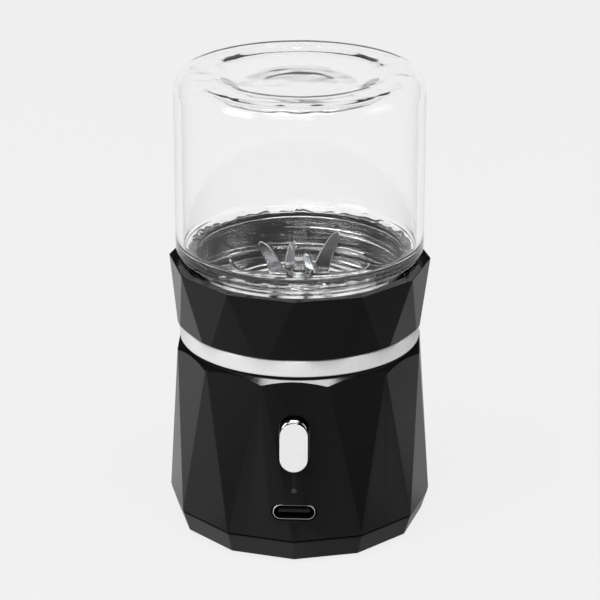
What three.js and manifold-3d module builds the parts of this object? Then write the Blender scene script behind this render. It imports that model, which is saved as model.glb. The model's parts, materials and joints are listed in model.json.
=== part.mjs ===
// A small rechargeable grinder: a glass jar screwed upside down into a faceted blade collar, over a
// motor base. Millimetres, +Z up. The origin is on the surface it stands on, at the middle; the button
// side faces -Y.
import * as THREE from "three";
import { ConvexGeometry } from "three/addons/geometries/ConvexGeometry.js";
import { mergeVertices } from "three/addons/utils/BufferGeometryUtils.js";
import Module from "manifold-3d";

const wasm = await Module();
wasm.setup();

// ---- Driving dimensions ----

const TOUCH_GAP = 0.3; // between pieces that touch
const SEAT_GAP = 0.15; // between the stacked blade parts
const ROUND = 48; // sides of a large circle
const MID_ROUND = 24; // sides of a boss, foot or seal
const SMALL_ROUND = 16; // sides of a shaft, screw or pin
const OVERCUT = 1; // how far a cutting tool passes a face

// Faceted shells: rings of twelve corners, joined by triangles.
const FACETS = 12;
const FACET_STEP = (2 * Math.PI) / FACETS;
const UNDERSIDE_Z = 0.6;
const BASE_LOW_R = 26.86;
const BASE_WIDE_R = 28.44;
const BASE_WIDE_Z = 5.5;
const BASE_TOP_R = 26.8;
const BASE_TOP_CORNER_Z = 41.1;
const BASE_TOP_Z = 41.85;
const PARTING_GAP = 0.3;
const SHELL_INNER_R = 24.2;
const SHELL_ROOF_Z = 39.6;
const SPIGOT_R = 21.9;
const SPIGOT_BORE_R = 14.5;
const SPIGOT_TOP_Z = 45.75;

const PLATE_FLOOR_Z = 3;
const PLATE_INNER_R = 25;
const LIP_R = 24.7;
const LIP_INNER_R = 23.6;
const LIP_Z = 4.2;

const COLLAR_BOTTOM_Z = 46.05;
const COLLAR_CORNER_Z = 43;
const COLLAR_CORNER_R = 26.3;
const COLLAR_TOP_R = 28;
const COLLAR_TOP_Z = 59.63;
const COLLAR_FLOOR_Z = 48.8;
const COLLAR_BORE_R = 25.3;
const TOWER_R = 5.5;
const TOWER_TOP_Z = 52.4;

const RING_R = 25.81;
const RING_INNER_R = 22.2;
const RING_Z = [42.1, 45.75];

// Jar
const JAR_R = 26.5;
const JAR_WALL = 1.6;
const JAR_TOP_Z = 100.7;
const JAR_TOP_ROUND = 3.3;
const JAR_INNER_ROUND = 1.7;
const JAR_MOUTH_Z = 51.25;
const NECK_R = 23.9;
const NECK_INNER_R = 22.2;
const SHOULDER_Z = 60.4;
const PUNT_R = 12.5;
const PUNT_DEPTH = 2.5;
const STANDING_RING_R = 18.5;

// Screw thread of the jar and the collar
const THREAD_LEAD = 4;
const THREAD_START_Z = 52.6;
const JAR_THREAD_CREST_R = 24.75;
const COLLAR_THREAD_CREST_R = 24.15;
const THREAD_ROOT_WIDTH = 1.6;
const THREAD_CREST_WIDTH = 0.7;
const THREAD_STEPS_PER_TURN = 36;

// Blades and the shaft they share
const SHAFT_R = 1.15;
const SHAFT_BORE_R = 1.22;
const SHAFT_Z = [15.2, 59.1];
const BLADE_THICKNESS = 0.5;
const BLADE_STACK_Z = 55.2;
const BLADE_HOLE_R = 1.35;
const BLADE_DISC_R = 3;
const EAR_CURVE = 1.35; // 1 is straight; more makes an ear's lean grow towards its tip

// Motor
const MOTOR_R = 12.2;
const MOTOR_WALL = 0.7;
const MOTOR_Z = [17, 45.75];
const MOTOR_BOSS_R = 3.2;
const MOTOR_BOSS_TOP_Z = 47.9;
const MOTOR_SCREW_X = 8;
const MOTOR_SCREW_SEAT_Z = 47.4;
const ARMATURE_Z = [24, 42];
const TERMINAL_X = 6.5;
const TERMINAL_Y = -4;
const SEAL_R = 3.6;
const SEAL_Z = [49.4, 52.2];

// Front face: a flat facet that leans back; its pieces stand in a group turned to it.
const FRONT_TOP_R = BASE_TOP_R * Math.cos(FACET_STEP / 2);
const FRONT_LEAN = Math.atan2(BASE_WIDE_R - FRONT_TOP_R, BASE_TOP_CORNER_Z - BASE_WIDE_Z);
const FRONT_FOOT_R = BASE_WIDE_R + BASE_WIDE_Z * Math.tan(FRONT_LEAN);
const WINDOW_WALL = 1.6;
const WINDOW_WIDTH = 12.4;
const WINDOW_HEIGHT = [8.7, 35.7];
const PORT_HEIGHT = 12.06;
const LAMP_HEIGHT = 17.04;
const BUTTON_HEIGHT = 27.47;
const BUTTON_WIDTH = 6.3;
const BUTTON_LENGTH = 11.05;
const BUTTON_PROUD = 2.4;
const BOARD_DEPTH = [6.5, 7.7];
const BOARD_HALF_WIDTH = 10;
const BOARD_HEIGHT = [8.2, 36];
const BOARD_SCREW_X = 7.9;
const BOARD_SCREW_HEIGHT = 33.4;
const BOARD_POST_R = 1.8;
const BOARD_POST_ROOT = 2.2;
const BUTTON_FLANGE = [1.9, 2.7];
const PLUNGER_R = 1.55;
const PLUNGER_DEPTH = [3.3, 4.9];
const SWITCH_DEPTH = [4.2, 6.2];
const PORT_DEPTH = [0.5, 6.2];
const PORT_RECESS = [9.9, 3.9];
const PORT_SHELL = [8.94, 3.2];
const PORT_SHEET = 0.3;
const LIGHT_PIPE_R = 0.65;

// Fasteners and feet
const SCREW_SHANK_R = 0.95;
const SCREW_HOLE_R = 1.25;
const SCREW_HEAD_R = 1.9;
const SCREW_HEAD_HOLE_R = 2.25;
const SCREW_BOSS_R = 3.1;
const SCREW_SEAT_Z = 3.6;
const POST_TOP_Z = 12.6;
const POST_ROOF = 1.5;
const CORNER_ANGLES = [45, 135, 225, 315];
const CORNER_RING_R = 21.6;
const FOOT_R = 3.5;
const FOOT_TOP_Z = 1.2;
const COLLAR_SCREW_ANGLES = [60, 180, 300];
const COLLAR_SCREW_RING_R = 18.2;
const COLLAR_SCREW_SEAT_Z = 42;

// ---- Materials ----

function finish(color, roughness, metalness = 0) {
  return new THREE.MeshStandardMaterial({ color, roughness, metalness });
}

const blackPlastic = () => finish(0x151516, 0.38);
const whitePlastic = () => finish(0xe4e4e2, 0.3);
const steel = () => finish(0xb9bcc0, 0.25, 1);
const zincSteel = () => finish(0x8f9296, 0.4, 1);
const glass = () =>
  new THREE.MeshStandardMaterial({ color: 0xf2f5f6, roughness: 0.03, transparent: true, opacity: 0.3 });
const rubber = (color) => finish(color, 0.8);
const bronze = () => finish(0xa9793f, 0.45, 1);

// ---- Solids: joins, cuts and the basic shapes ----

// A closed geometry as a solid that can be joined and cut.
function solid(geometry) {
  const bare = geometry.clone();
  bare.deleteAttribute("normal");
  bare.deleteAttribute("uv");
  const merged = mergeVertices(bare, 1e-4);
  return new wasm.Manifold(
    new wasm.Mesh({
      numProp: 3,
      vertProperties: new Float32Array(merged.attributes.position.array),
      triVerts: new Uint32Array(merged.index.array),
    }),
  );
}

// A solid's surface as a geometry again.
function surface(body) {
  const mesh = body.getMesh();
  const geometry = new THREE.BufferGeometry();
  geometry.setAttribute("position", new THREE.BufferAttribute(mesh.vertProperties, 3));
  geometry.setIndex(new THREE.BufferAttribute(mesh.triVerts, 1));
  geometry.computeVertexNormals();
  return geometry;
}

function join(first, ...others) {
  return surface(others.reduce((body, other) => body.add(solid(other)), solid(first)));
}

function cut(first, ...tools) {
  return surface(tools.reduce((body, tool) => body.subtract(solid(tool)), solid(first)));
}

function overlapOf(first, second) {
  return surface(solid(first).intersect(solid(second)));
}

// An upright cylinder from one height to another.
function rod(radius, fromZ, toZ, x = 0, y = 0, sides = SMALL_ROUND) {
  const geometry = new THREE.CylinderGeometry(radius, radius, toZ - fromZ, sides);
  return geometry.rotateX(Math.PI / 2).translate(x, y, (fromZ + toZ) / 2);
}

function block(width, depth, height, x, y, z) {
  return new THREE.BoxGeometry(width, depth, height).translate(x, y, z);
}

// A turned solid from [radius, height] points. A profile that doesn't begin on the axis becomes a ring.
function turned(profile, sides = ROUND) {
  const points = profile.map(([radius, height]) => new THREE.Vector2(radius, height));
  if (THREE.ShapeUtils.area(points) < 0) {
    points.reverse();
  }
  if (points[0].x > 0) {
    points.push(points[0].clone());
  }
  return new THREE.LatheGeometry(points, sides).rotateX(Math.PI / 2);
}

// Points of an arc in [radius, height], both ends included.
function arcPoints(centreR, centreZ, radius, fromDeg, toDeg, steps) {
  return Array.from({ length: steps + 1 }, (_, step) => {
    const angle = THREE.MathUtils.degToRad(fromDeg + ((toDeg - fromDeg) * step) / steps);
    return [centreR + radius * Math.cos(angle), centreZ + radius * Math.sin(angle)];
  });
}

function tube(outerR, innerR, fromZ, toZ, sides = ROUND) {
  return turned([[innerR, fromZ], [outerR, fromZ], [outerR, toZ], [innerR, toZ]], sides);
}

// Twelve corners on a circle; the first is at the front, or half a facet from it.
function cornerRing(radius, z, halfTurned) {
  return Array.from({ length: FACETS }, (_, corner) => {
    const angle = (corner + (halfTurned ? 0.5 : 0)) * FACET_STEP;
    return new THREE.Vector3(radius * Math.sin(angle), -radius * Math.cos(angle), z);
  });
}

// A point on a circle round the axis, counted in degrees from the front towards +X.
function around(radius, degrees) {
  const angle = THREE.MathUtils.degToRad(degrees);
  return [radius * Math.sin(angle), -radius * Math.cos(angle)];
}

function pill(width, length) {
  const radius = width / 2;
  const straight = length / 2 - radius;
  const shape = new THREE.Shape();
  shape.absarc(0, straight, radius, 0, Math.PI, false);
  shape.absarc(0, -straight, radius, Math.PI, 2 * Math.PI, false);
  return shape;
}

function lyingPill(width, height) {
  const radius = height / 2;
  const straight = width / 2 - radius;
  const shape = new THREE.Shape();
  shape.absarc(straight, 0, radius, -Math.PI / 2, Math.PI / 2, false);
  shape.absarc(-straight, 0, radius, Math.PI / 2, (3 * Math.PI) / 2, false);
  return shape;
}

// Front-face shapes: X across, Y the depth behind the face, Z the height up the face.
function faceSlab(shape, fromDepth, toDepth, height) {
  const slab = new THREE.ExtrudeGeometry(shape, {
    depth: toDepth - fromDepth,
    bevelEnabled: false,
    curveSegments: 10,
  });
  return slab.rotateX(Math.PI / 2).translate(0, toDepth, height);
}

function faceRod(radius, fromDepth, toDepth, x, height) {
  const geometry = new THREE.CylinderGeometry(radius, radius, toDepth - fromDepth, SMALL_ROUND);
  return geometry.translate(x, (fromDepth + toDepth) / 2, height);
}

function faceBlock(width, fromDepth, toDepth, fromHeight, toHeight) {
  const middle = [(fromDepth + toDepth) / 2, (fromHeight + toHeight) / 2];
  return block(width, toDepth - fromDepth, toHeight - fromHeight, 0, ...middle);
}

function leanToFront(geometry) {
  return geometry.rotateX(-FRONT_LEAN).translate(0, -FRONT_FOOT_R, 0);
}

// A piece with a pan head and a crossed recess, head down at the origin, shank up.
function screw(headHeight, shankLength) {
  const head = rod(SCREW_HEAD_R, 0, headHeight);
  const shank = rod(SCREW_SHANK_R, headHeight / 2, headHeight + shankLength);
  const slotLength = SCREW_HEAD_R * 1.3;
  const slotWidth = SCREW_HEAD_R * 0.3;
  const slotDepth = headHeight * 0.9;
  return cut(
    join(head, shank),
    block(slotLength, slotWidth, slotDepth, 0, 0, 0),
    block(slotWidth, slotLength, slotDepth, 0, 0, 0),
  );
}

// A ridge of trapezoid section wound round the axis; it fades into its wall at both ends.
function threadRidge({ rootR, crestR, startZ, startTurn, turns }) {
  const steps = Math.round(turns * THREAD_STEPS_PER_TURN);
  const geometry = new THREE.BoxGeometry(1, 1, 1, 1, 1, steps);
  const position = geometry.attributes.position;
  const fade = 0.12;
  const facing = Math.sign(rootR - crestR);
  for (let index = 0; index < position.count; index += 1) {
    const along = 0.5 + facing * position.getZ(index);
    const onCrest = position.getX(index) > 0;
    const height = Math.min(1, along / fade, (1 - along) / fade);
    const width = onCrest ? THREAD_CREST_WIDTH : THREAD_ROOT_WIDTH;
    const crest = rootR + (crestR - rootR) * Math.max(height, 0.1);
    const radius = onCrest ? crest : rootR + 0.3 * facing;
    const turn = startTurn + along * turns;
    const angle = turn * 2 * Math.PI;
    const z = startZ + THREAD_LEAD * turn + position.getY(index) * width;
    position.setXYZ(index, radius * Math.cos(angle), radius * Math.sin(angle), z);
  }
  return geometry;
}

// ---- Base ----

function basePlate() {
  const topZ = BASE_WIDE_Z - PARTING_GAP / 2;
  const wideR = THREE.MathUtils.mapLinear(topZ, UNDERSIDE_Z, BASE_WIDE_Z, BASE_LOW_R, BASE_WIDE_R);
  const outside = new ConvexGeometry([
    ...cornerRing(BASE_LOW_R, UNDERSIDE_Z, false),
    ...cornerRing(wideR, topZ, false),
  ]);
  const corners = CORNER_ANGLES.map((angle) => around(CORNER_RING_R, angle));
  const hollow = rod(PLATE_INNER_R, PLATE_FLOOR_Z, topZ + OVERCUT, 0, 0, ROUND);
  const bosses = corners.map(([x, y]) => rod(SCREW_BOSS_R, PLATE_FLOOR_Z - OVERCUT, topZ, x, y));
  const pocketTop = FOOT_TOP_Z + TOUCH_GAP;
  const footPockets = corners.map(([x, y]) => rod(FOOT_R + TOUCH_GAP, 0, pocketTop, x, y, MID_ROUND));
  const headHoles = corners.map(([x, y]) => rod(SCREW_HEAD_HOLE_R, 0, SCREW_SEAT_Z, x, y));
  const shankHoles = corners.map(([x, y]) => rod(SCREW_HOLE_R, 0, topZ + OVERCUT, x, y));
  return cut(join(cut(outside, hollow), ...bosses), ...footPockets, ...headHoles, ...shankHoles);
}

function baseShell() {
  const bottomZ = BASE_WIDE_Z + PARTING_GAP / 2;
  const facets = new ConvexGeometry([
    ...cornerRing(BASE_WIDE_R, BASE_WIDE_Z, false),
    ...cornerRing(BASE_TOP_R, BASE_TOP_CORNER_Z, true),
    ...cornerRing(BASE_TOP_R - 0.8, BASE_TOP_Z, true),
  ]);
  const chamferTop = turned([
    [0, bottomZ],
    [BASE_WIDE_R + OVERCUT, bottomZ],
    [BASE_WIDE_R + OVERCUT, BASE_TOP_CORNER_Z - 3.1],
    [BASE_TOP_R - 1.75, BASE_TOP_Z],
    [0, BASE_TOP_Z],
  ]);
  const outside = overlapOf(facets, chamferTop);
  const spigot = tube(SPIGOT_R, SPIGOT_BORE_R, SHELL_ROOF_Z, SPIGOT_TOP_Z);
  const hollow = rod(SHELL_INNER_R, 0, SHELL_ROOF_Z, 0, 0, ROUND);
  const motorHole = rod(SPIGOT_BORE_R, SHELL_ROOF_Z - OVERCUT, BASE_TOP_Z + OVERCUT, 0, 0, ROUND);
  const corners = CORNER_ANGLES.map((angle) => around(CORNER_RING_R, angle));
  const lip = cut(
    tube(LIP_R, LIP_INNER_R, LIP_Z, bottomZ + OVERCUT),
    ...corners.map(([x, y]) => rod(SCREW_BOSS_R + TOUCH_GAP, 0, bottomZ + 2 * OVERCUT, x, y)),
  );
  const posts = corners.map(([x, y]) => rod(SCREW_BOSS_R, bottomZ, POST_TOP_Z, x, y));
  const walls = join(cut(outside, hollow, motorHole), spigot, lip, ...posts);
  const screwHoles = corners.map(([x, y]) => rod(SCREW_HOLE_R, 0, POST_TOP_Z - POST_ROOF, x, y));
  const collarScrews = COLLAR_SCREW_ANGLES.map((angle) => around(COLLAR_SCREW_RING_R, angle));
  const headFrom = SHELL_ROOF_Z - OVERCUT;
  const shankTo = SPIGOT_TOP_Z + OVERCUT;
  const collarHoles = collarScrews.flatMap(([x, y]) => [
    rod(SCREW_HEAD_HOLE_R, headFrom, COLLAR_SCREW_SEAT_Z, x, y),
    rod(SCREW_HOLE_R, headFrom, shankTo, x, y),
  ]);
  const postTip = BOARD_DEPTH[0] - TOUCH_GAP;
  const postFloor = BOARD_POST_ROOT + TOUCH_GAP;
  const boardPosts = [-BOARD_SCREW_X, BOARD_SCREW_X].map((x) =>
    faceRod(BOARD_POST_R, BOARD_POST_ROOT, postTip, x, BOARD_SCREW_HEIGHT),
  );
  const boardHoles = [-BOARD_SCREW_X, BOARD_SCREW_X].map((x) =>
    faceRod(SCREW_HOLE_R, postFloor, BOARD_DEPTH[0], x, BOARD_SCREW_HEIGHT),
  );
  const window = faceBlock(WINDOW_WIDTH, WINDOW_WALL, BOARD_DEPTH[0], ...WINDOW_HEIGHT);
  const buttonOutline = pill(BUTTON_WIDTH + 2 * TOUCH_GAP, BUTTON_LENGTH + 2 * TOUCH_GAP);
  const buttonHole = faceSlab(buttonOutline, -OVERCUT, 2 * WINDOW_WALL, BUTTON_HEIGHT);
  const lampHole = faceRod(LIGHT_PIPE_R + TOUCH_GAP, -OVERCUT, 2 * WINDOW_WALL, 0, LAMP_HEIGHT);
  const portHole = faceSlab(lyingPill(...PORT_RECESS), -OVERCUT, 2 * WINDOW_WALL, PORT_HEIGHT);
  const frontCuts = [window, buttonHole, lampHole, portHole].map(leanToFront);
  const drilled = cut(walls, ...screwHoles, ...collarHoles, ...frontCuts);
  return cut(join(drilled, ...boardPosts.map(leanToFront)), ...boardHoles.map(leanToFront));
}

function trimRing() {
  const [low, high] = RING_Z;
  const bevel = 0.25;
  return turned([
    [RING_INNER_R, low],
    [RING_R - bevel, low],
    [RING_R, low + bevel],
    [RING_R, high - bevel],
    [RING_R - bevel, high],
    [RING_INNER_R, high],
  ]);
}

// ---- Collar, dish and jar ----

function collarShell() {
  const facets = new ConvexGeometry([
    ...cornerRing(COLLAR_CORNER_R, COLLAR_CORNER_Z, true),
    ...cornerRing(COLLAR_TOP_R, COLLAR_TOP_Z, false),
  ]);
  const belowBottom = rod(COLLAR_TOP_R * 2, COLLAR_CORNER_Z - OVERCUT, COLLAR_BOTTOM_Z);
  const bore = rod(COLLAR_BORE_R, COLLAR_FLOOR_Z, COLLAR_TOP_Z + OVERCUT, 0, 0, ROUND);
  const tower = rod(TOWER_R, COLLAR_FLOOR_Z - OVERCUT, TOWER_TOP_Z, 0, 0, MID_ROUND);
  const thread = threadRidge({
    rootR: COLLAR_BORE_R,
    crestR: COLLAR_THREAD_CREST_R,
    startZ: THREAD_START_Z + THREAD_LEAD / 2,
    startTurn: -0.25,
    turns: 1.1,
  });
  const below = COLLAR_BOTTOM_Z - OVERCUT;
  const aboveTower = TOWER_TOP_Z + OVERCUT;
  const bossHole = rod(MOTOR_BOSS_R + TOUCH_GAP, below, aboveTower, 0, 0, MID_ROUND);
  const sealPocket = rod(SEAL_R + TOUCH_GAP, SEAL_Z[0] - TOUCH_GAP, aboveTower, 0, 0, MID_ROUND);
  const motorHoles = [-1, 1].flatMap((side) => [
    rod(SCREW_HOLE_R, below, COLLAR_FLOOR_Z + OVERCUT, side * MOTOR_SCREW_X, 0),
    rod(SCREW_HEAD_HOLE_R, MOTOR_SCREW_SEAT_Z, COLLAR_FLOOR_Z + OVERCUT, side * MOTOR_SCREW_X, 0),
  ]);
  const screwHoles = COLLAR_SCREW_ANGLES.map((angle) => around(COLLAR_SCREW_RING_R, angle)).map(([x, y]) =>
    rod(SCREW_HOLE_R, below, COLLAR_FLOOR_Z - 0.5, x, y),
  );
  const body = join(cut(facets, belowBottom, bore), tower, thread);
  return cut(body, bossHole, sealPocket, ...motorHoles, ...screwHoles);
}

// A pressed sheet: its upper face runs from the outer flange to the hole in the middle.
function chamberDish() {
  const upper = [
    [24.6, 49.7],
    [21.6, 49.7],
    [21.3, 52.3],
    [18.2, 52.3],
    [16.2, 53.1],
    [9, 53.1],
    [8, 53.5],
    [2.75, 53.5],
  ];
  const lower = [
    [2.75, 52.9],
    [7.7, 52.9],
    [8.7, 52.5],
    [16, 52.5],
    [18, 51.7],
    [20.7, 51.7],
    [21, 49.1],
    [24.6, 49.1],
  ];
  return turned([...upper, ...lower]);
}

function jarSeal() {
  return tube(NECK_R + 0.2, NECK_INNER_R + 0.2, 50, JAR_MOUTH_Z - TOUCH_GAP);
}

function shaftSeal() {
  return tube(SEAL_R, SHAFT_R + 0.2, ...SEAL_Z, MID_ROUND);
}

// The jar's base from its standing ring in to the axis, sunk at the middle by a smooth step.
function puntRows(ringZ) {
  const halfR = (STANDING_RING_R + PUNT_R) / 2;
  const quarter = (STANDING_RING_R - PUNT_R) / 4;
  return [
    [STANDING_RING_R, ringZ],
    [halfR + quarter, ringZ - PUNT_DEPTH * 0.16],
    [halfR, ringZ - PUNT_DEPTH * 0.5],
    [halfR - quarter, ringZ - PUNT_DEPTH * 0.84],
    [PUNT_R, ringZ - PUNT_DEPTH],
    [0, ringZ - PUNT_DEPTH],
  ];
}

// An even wall all over: neck, shoulder, side and base.
function glassJar() {
  const shoulderR = JAR_R - NECK_R;
  const innerR = JAR_R - JAR_WALL;
  const innerTopZ = JAR_TOP_Z - JAR_WALL;
  const innerShoulderR = innerR - NECK_INNER_R;
  const mouthRound = 0.8;
  const outside = [
    [NECK_INNER_R + mouthRound, JAR_MOUTH_Z],
    [NECK_R - mouthRound, JAR_MOUTH_Z],
    [NECK_R, JAR_MOUTH_Z + mouthRound],
    ...arcPoints(NECK_R, SHOULDER_Z + shoulderR, shoulderR, -90, 0, 3),
    ...arcPoints(JAR_R - JAR_TOP_ROUND, JAR_TOP_Z - JAR_TOP_ROUND, JAR_TOP_ROUND, 0, 90, 3),
    ...puntRows(JAR_TOP_Z),
  ];
  const inside = [
    ...puntRows(innerTopZ).reverse(),
    ...arcPoints(innerR - JAR_INNER_ROUND, innerTopZ - JAR_INNER_ROUND, JAR_INNER_ROUND, 90, 0, 3),
    ...arcPoints(NECK_INNER_R, SHOULDER_Z + shoulderR + JAR_WALL, innerShoulderR, 0, -90, 3),
    [NECK_INNER_R, JAR_MOUTH_Z + mouthRound],
  ];
  const thread = threadRidge({
    rootR: NECK_R,
    crestR: JAR_THREAD_CREST_R,
    startZ: THREAD_START_Z,
    startTurn: 0,
    turns: 1.3,
  });
  return join(turned([...outside, ...inside]), thread);
}

// ---- Blades ----

// Where a strip bent up across its length has its middle surface, and its slope, a given way along it.
function bentPoint(along, { flat, bendR, bendDeg }) {
  const fullBend = THREE.MathUtils.degToRad(bendDeg);
  const slope = THREE.MathUtils.clamp((along - flat) / bendR, 0, fullBend);
  const straight = Math.max(along - flat - bendR * fullBend, 0);
  const out = Math.min(along, flat) + bendR * Math.sin(slope) + straight * Math.cos(fullBend);
  const up = bendR * (1 - Math.cos(slope)) + straight * Math.sin(fullBend);
  return [out, up, slope];
}

// The middle of a blade: its plate joined with a round seat, with the shaft's hole through both.
function seated(...pieces) {
  const disc = rod(BLADE_DISC_R, -BLADE_THICKNESS / 2, BLADE_THICKNESS / 2);
  return cut(join(disc, ...pieces), rod(BLADE_HOLE_R, -OVERCUT, OVERCUT));
}

// A long strip with both of its ends turned up.
function stripBlade(shape) {
  const { length, rootWidth, tipWidth, sweep } = shape;
  const geometry = new THREE.BoxGeometry(2, 1, 1, 32, 1, 1);
  const position = geometry.attributes.position;
  for (let index = 0; index < position.count; index += 1) {
    const share = Math.abs(position.getX(index));
    const side = Math.sign(position.getX(index));
    const [out, up, slope] = bentPoint(share * length, shape);
    const width = THREE.MathUtils.lerp(rootWidth, tipWidth, share);
    const across = position.getY(index) * width + side * sweep * share ** 2;
    const lift = position.getZ(index) * BLADE_THICKNESS;
    position.setXYZ(index, side * (out - Math.sin(slope) * lift), across, up + Math.cos(slope) * lift);
  }
  return seated(geometry);
}

// An ear bent up from one long edge of an eared blade. It leans along the edge as it rises, and its
// tip is round.
function ear(shape) {
  const { flat, length, rootX, rootWidth, tipWidth, sweep } = shape;
  const root = flat - 0.8;
  const roundFrom = 0.86;
  const geometry = new THREE.BoxGeometry(1, 1, 1, 1, 20, 1);
  const position = geometry.attributes.position;
  for (let index = 0; index < position.count; index += 1) {
    const along = THREE.MathUtils.lerp(root, flat + length, position.getY(index) + 0.5);
    const share = Math.max(0, (along - flat) / length);
    const rounding = 0.93 * THREE.MathUtils.clamp((share - roundFrom) / (1 - roundFrom), 0, 1);
    const width = THREE.MathUtils.lerp(rootWidth, tipWidth, share) * Math.sqrt(1 - rounding ** 2);
    const x = rootX + sweep * share ** EAR_CURVE + position.getX(index) * width;
    const [out, up, slope] = bentPoint(along, shape);
    const lift = position.getZ(index) * BLADE_THICKNESS;
    position.setXYZ(index, x, out - Math.sin(slope) * lift, up + Math.cos(slope) * lift);
  }
  return geometry;
}

// A plate with an ear at each long edge, the second half a turn round from the first.
function earedBlade(shape) {
  const { flat, rootX, rootWidth } = shape;
  const inner = rootX - (Math.sign(rootX) * rootWidth) / 2;
  const outer = rootX + (Math.sign(rootX) * rootWidth) / 2;
  const corners = [
    [outer, flat],
    [outer, -0.3 * flat],
    [inner, -flat],
  ];
  const outline = new THREE.Shape(
    [...corners, ...corners.map(([x, y]) => [-x, -y])].map(([x, y]) => new THREE.Vector2(x, y)),
  );
  const plate = new THREE.ExtrudeGeometry(outline, { depth: BLADE_THICKNESS, bevelEnabled: false });
  plate.translate(0, 0, -BLADE_THICKNESS / 2);
  return seated(plate, ear(shape), ear(shape).rotateZ(Math.PI));
}

function bladeHub() {
  const top = BLADE_STACK_Z - SEAT_GAP;
  const neckR = 2.3;
  const bottom = TOWER_TOP_Z + SEAT_GAP;
  const profile = [
    [BLADE_HOLE_R, bottom],
    [neckR, bottom],
    [neckR, top - 1.1],
    [BLADE_DISC_R, top - 0.8],
    [BLADE_DISC_R, top],
    [BLADE_HOLE_R, top],
  ];
  return turned(profile, SMALL_ROUND);
}

function bladeNut() {
  const height = 1.3;
  const acrossCornersR = 2.2;
  return cut(rod(acrossCornersR, 0, height, 0, 0, 6), rod(BLADE_HOLE_R, -OVERCUT, height + OVERCUT));
}

// ---- Motor ----

function motorCan() {
  const [bottom, top] = MOTOR_Z;
  const innerR = MOTOR_R - MOTOR_WALL;
  const bossBoreR = 2.3;
  const cup = turned([
    [innerR, bottom],
    [MOTOR_R, bottom],
    [MOTOR_R, top - 0.8],
    [MOTOR_R - 0.8, top],
    [MOTOR_BOSS_R, top],
    [MOTOR_BOSS_R, MOTOR_BOSS_TOP_Z],
    [bossBoreR, MOTOR_BOSS_TOP_Z],
    [bossBoreR, top - MOTOR_WALL],
    [innerR, top - MOTOR_WALL],
  ]);
  const screwHoles = [-1, 1].map((side) =>
    rod(SCREW_HOLE_R, top - MOTOR_WALL - OVERCUT, top + OVERCUT, side * MOTOR_SCREW_X, 0),
  );
  return cut(cup, ...screwHoles);
}

function motorEndBell() {
  const bottom = 13.4;
  const canBottom = MOTOR_Z[0] - TOUCH_GAP;
  const bell = turned([
    [1.5, bottom],
    [MOTOR_R - 0.6, bottom],
    [MOTOR_R, bottom + 0.6],
    [MOTOR_R, canBottom],
    [MOTOR_R - MOTOR_WALL - TOUCH_GAP, canBottom],
    [MOTOR_R - MOTOR_WALL - TOUCH_GAP, 18],
    [2.8, 18],
    [2.8, 14.4],
    [1.5, 14.4],
  ]);
  const slots = [-1, 1].map((side) => block(2.2, 1.1, 8, side * TERMINAL_X, TERMINAL_Y, 16));
  return cut(bell, ...slots);
}

// A stack of plates on three poles.
function motorArmature() {
  const [low, high] = ARMATURE_Z;
  const core = rod(8.9, low, high, 0, 0, ROUND);
  const slots = [0, 120, 240].map((degrees) => {
    const slot = block(1.2, 5, high, 0, 7.5, (low + high) / 2);
    const pocket = block(5.5, 2.6, high, 0, 5.4, (low + high) / 2);
    return join(slot, pocket).rotateZ(THREE.MathUtils.degToRad(degrees));
  });
  return cut(core, ...slots, rod(SHAFT_BORE_R, 0, JAR_TOP_Z));
}

function magnet(side) {
  const half = THREE.MathUtils.degToRad(58);
  const middle = side > 0 ? 0 : Math.PI;
  const [innerR, outerR] = [9.5, 11.2];
  const [low, high] = ARMATURE_Z;
  const shape = new THREE.Shape();
  shape.absarc(0, 0, outerR, middle - half, middle + half, false);
  shape.absarc(0, 0, innerR, middle + half, middle - half, true);
  const arc = new THREE.ExtrudeGeometry(shape, { depth: high - low, bevelEnabled: false, curveSegments: 16 });
  return arc.translate(0, 0, low);
}

// ---- Front pieces, in the leaning frame of the front face ----

function buttonCap() {
  const rim = 1.2;
  const cap = faceSlab(pill(BUTTON_WIDTH, BUTTON_LENGTH), -BUTTON_PROUD, BUTTON_FLANGE[1], BUTTON_HEIGHT);
  const flangeOutline = pill(BUTTON_WIDTH + 2 * rim, BUTTON_LENGTH + 2 * rim);
  const flange = faceSlab(flangeOutline, ...BUTTON_FLANGE, BUTTON_HEIGHT);
  const post = faceRod(1.3, BUTTON_FLANGE[0], PLUNGER_DEPTH[0] - TOUCH_GAP, 0, BUTTON_HEIGHT);
  return join(cap, flange, post);
}

function switchBody() {
  const body = faceBlock(6, SWITCH_DEPTH[0], SWITCH_DEPTH[1], BUTTON_HEIGHT - 3, BUTTON_HEIGHT + 3);
  return cut(body, faceRod(PLUNGER_R + TOUCH_GAP, 0, 5.7, 0, BUTTON_HEIGHT));
}

function usbSocketShell() {
  const [front, back] = PORT_DEPTH;
  const [width, height] = PORT_SHELL;
  const outside = faceSlab(lyingPill(width, height), front, back, PORT_HEIGHT);
  const innerOutline = lyingPill(width - 2 * PORT_SHEET, height - 2 * PORT_SHEET);
  const inside = faceSlab(innerOutline, front - OVERCUT, back - 2 * PORT_SHEET, PORT_HEIGHT);
  return cut(outside, inside);
}

function usbTongue() {
  const [front, back] = PORT_DEPTH;
  const root = back - 2 * PORT_SHEET - TOUCH_GAP;
  const tongue = faceBlock(6.69, front + 0.8, root, PORT_HEIGHT - 0.35, PORT_HEIGHT + 0.35);
  const foot = faceSlab(lyingPill(7.7, 1.9), root - 0.8, root, PORT_HEIGHT);
  return join(tongue, foot);
}

function lightPipe() {
  const pin = faceRod(LIGHT_PIPE_R, 0.05, 5.1, 0, LAMP_HEIGHT);
  const flange = faceRod(1.25, WINDOW_WALL + TOUCH_GAP, WINDOW_WALL + 0.9, 0, LAMP_HEIGHT);
  return join(pin, flange);
}

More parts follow.
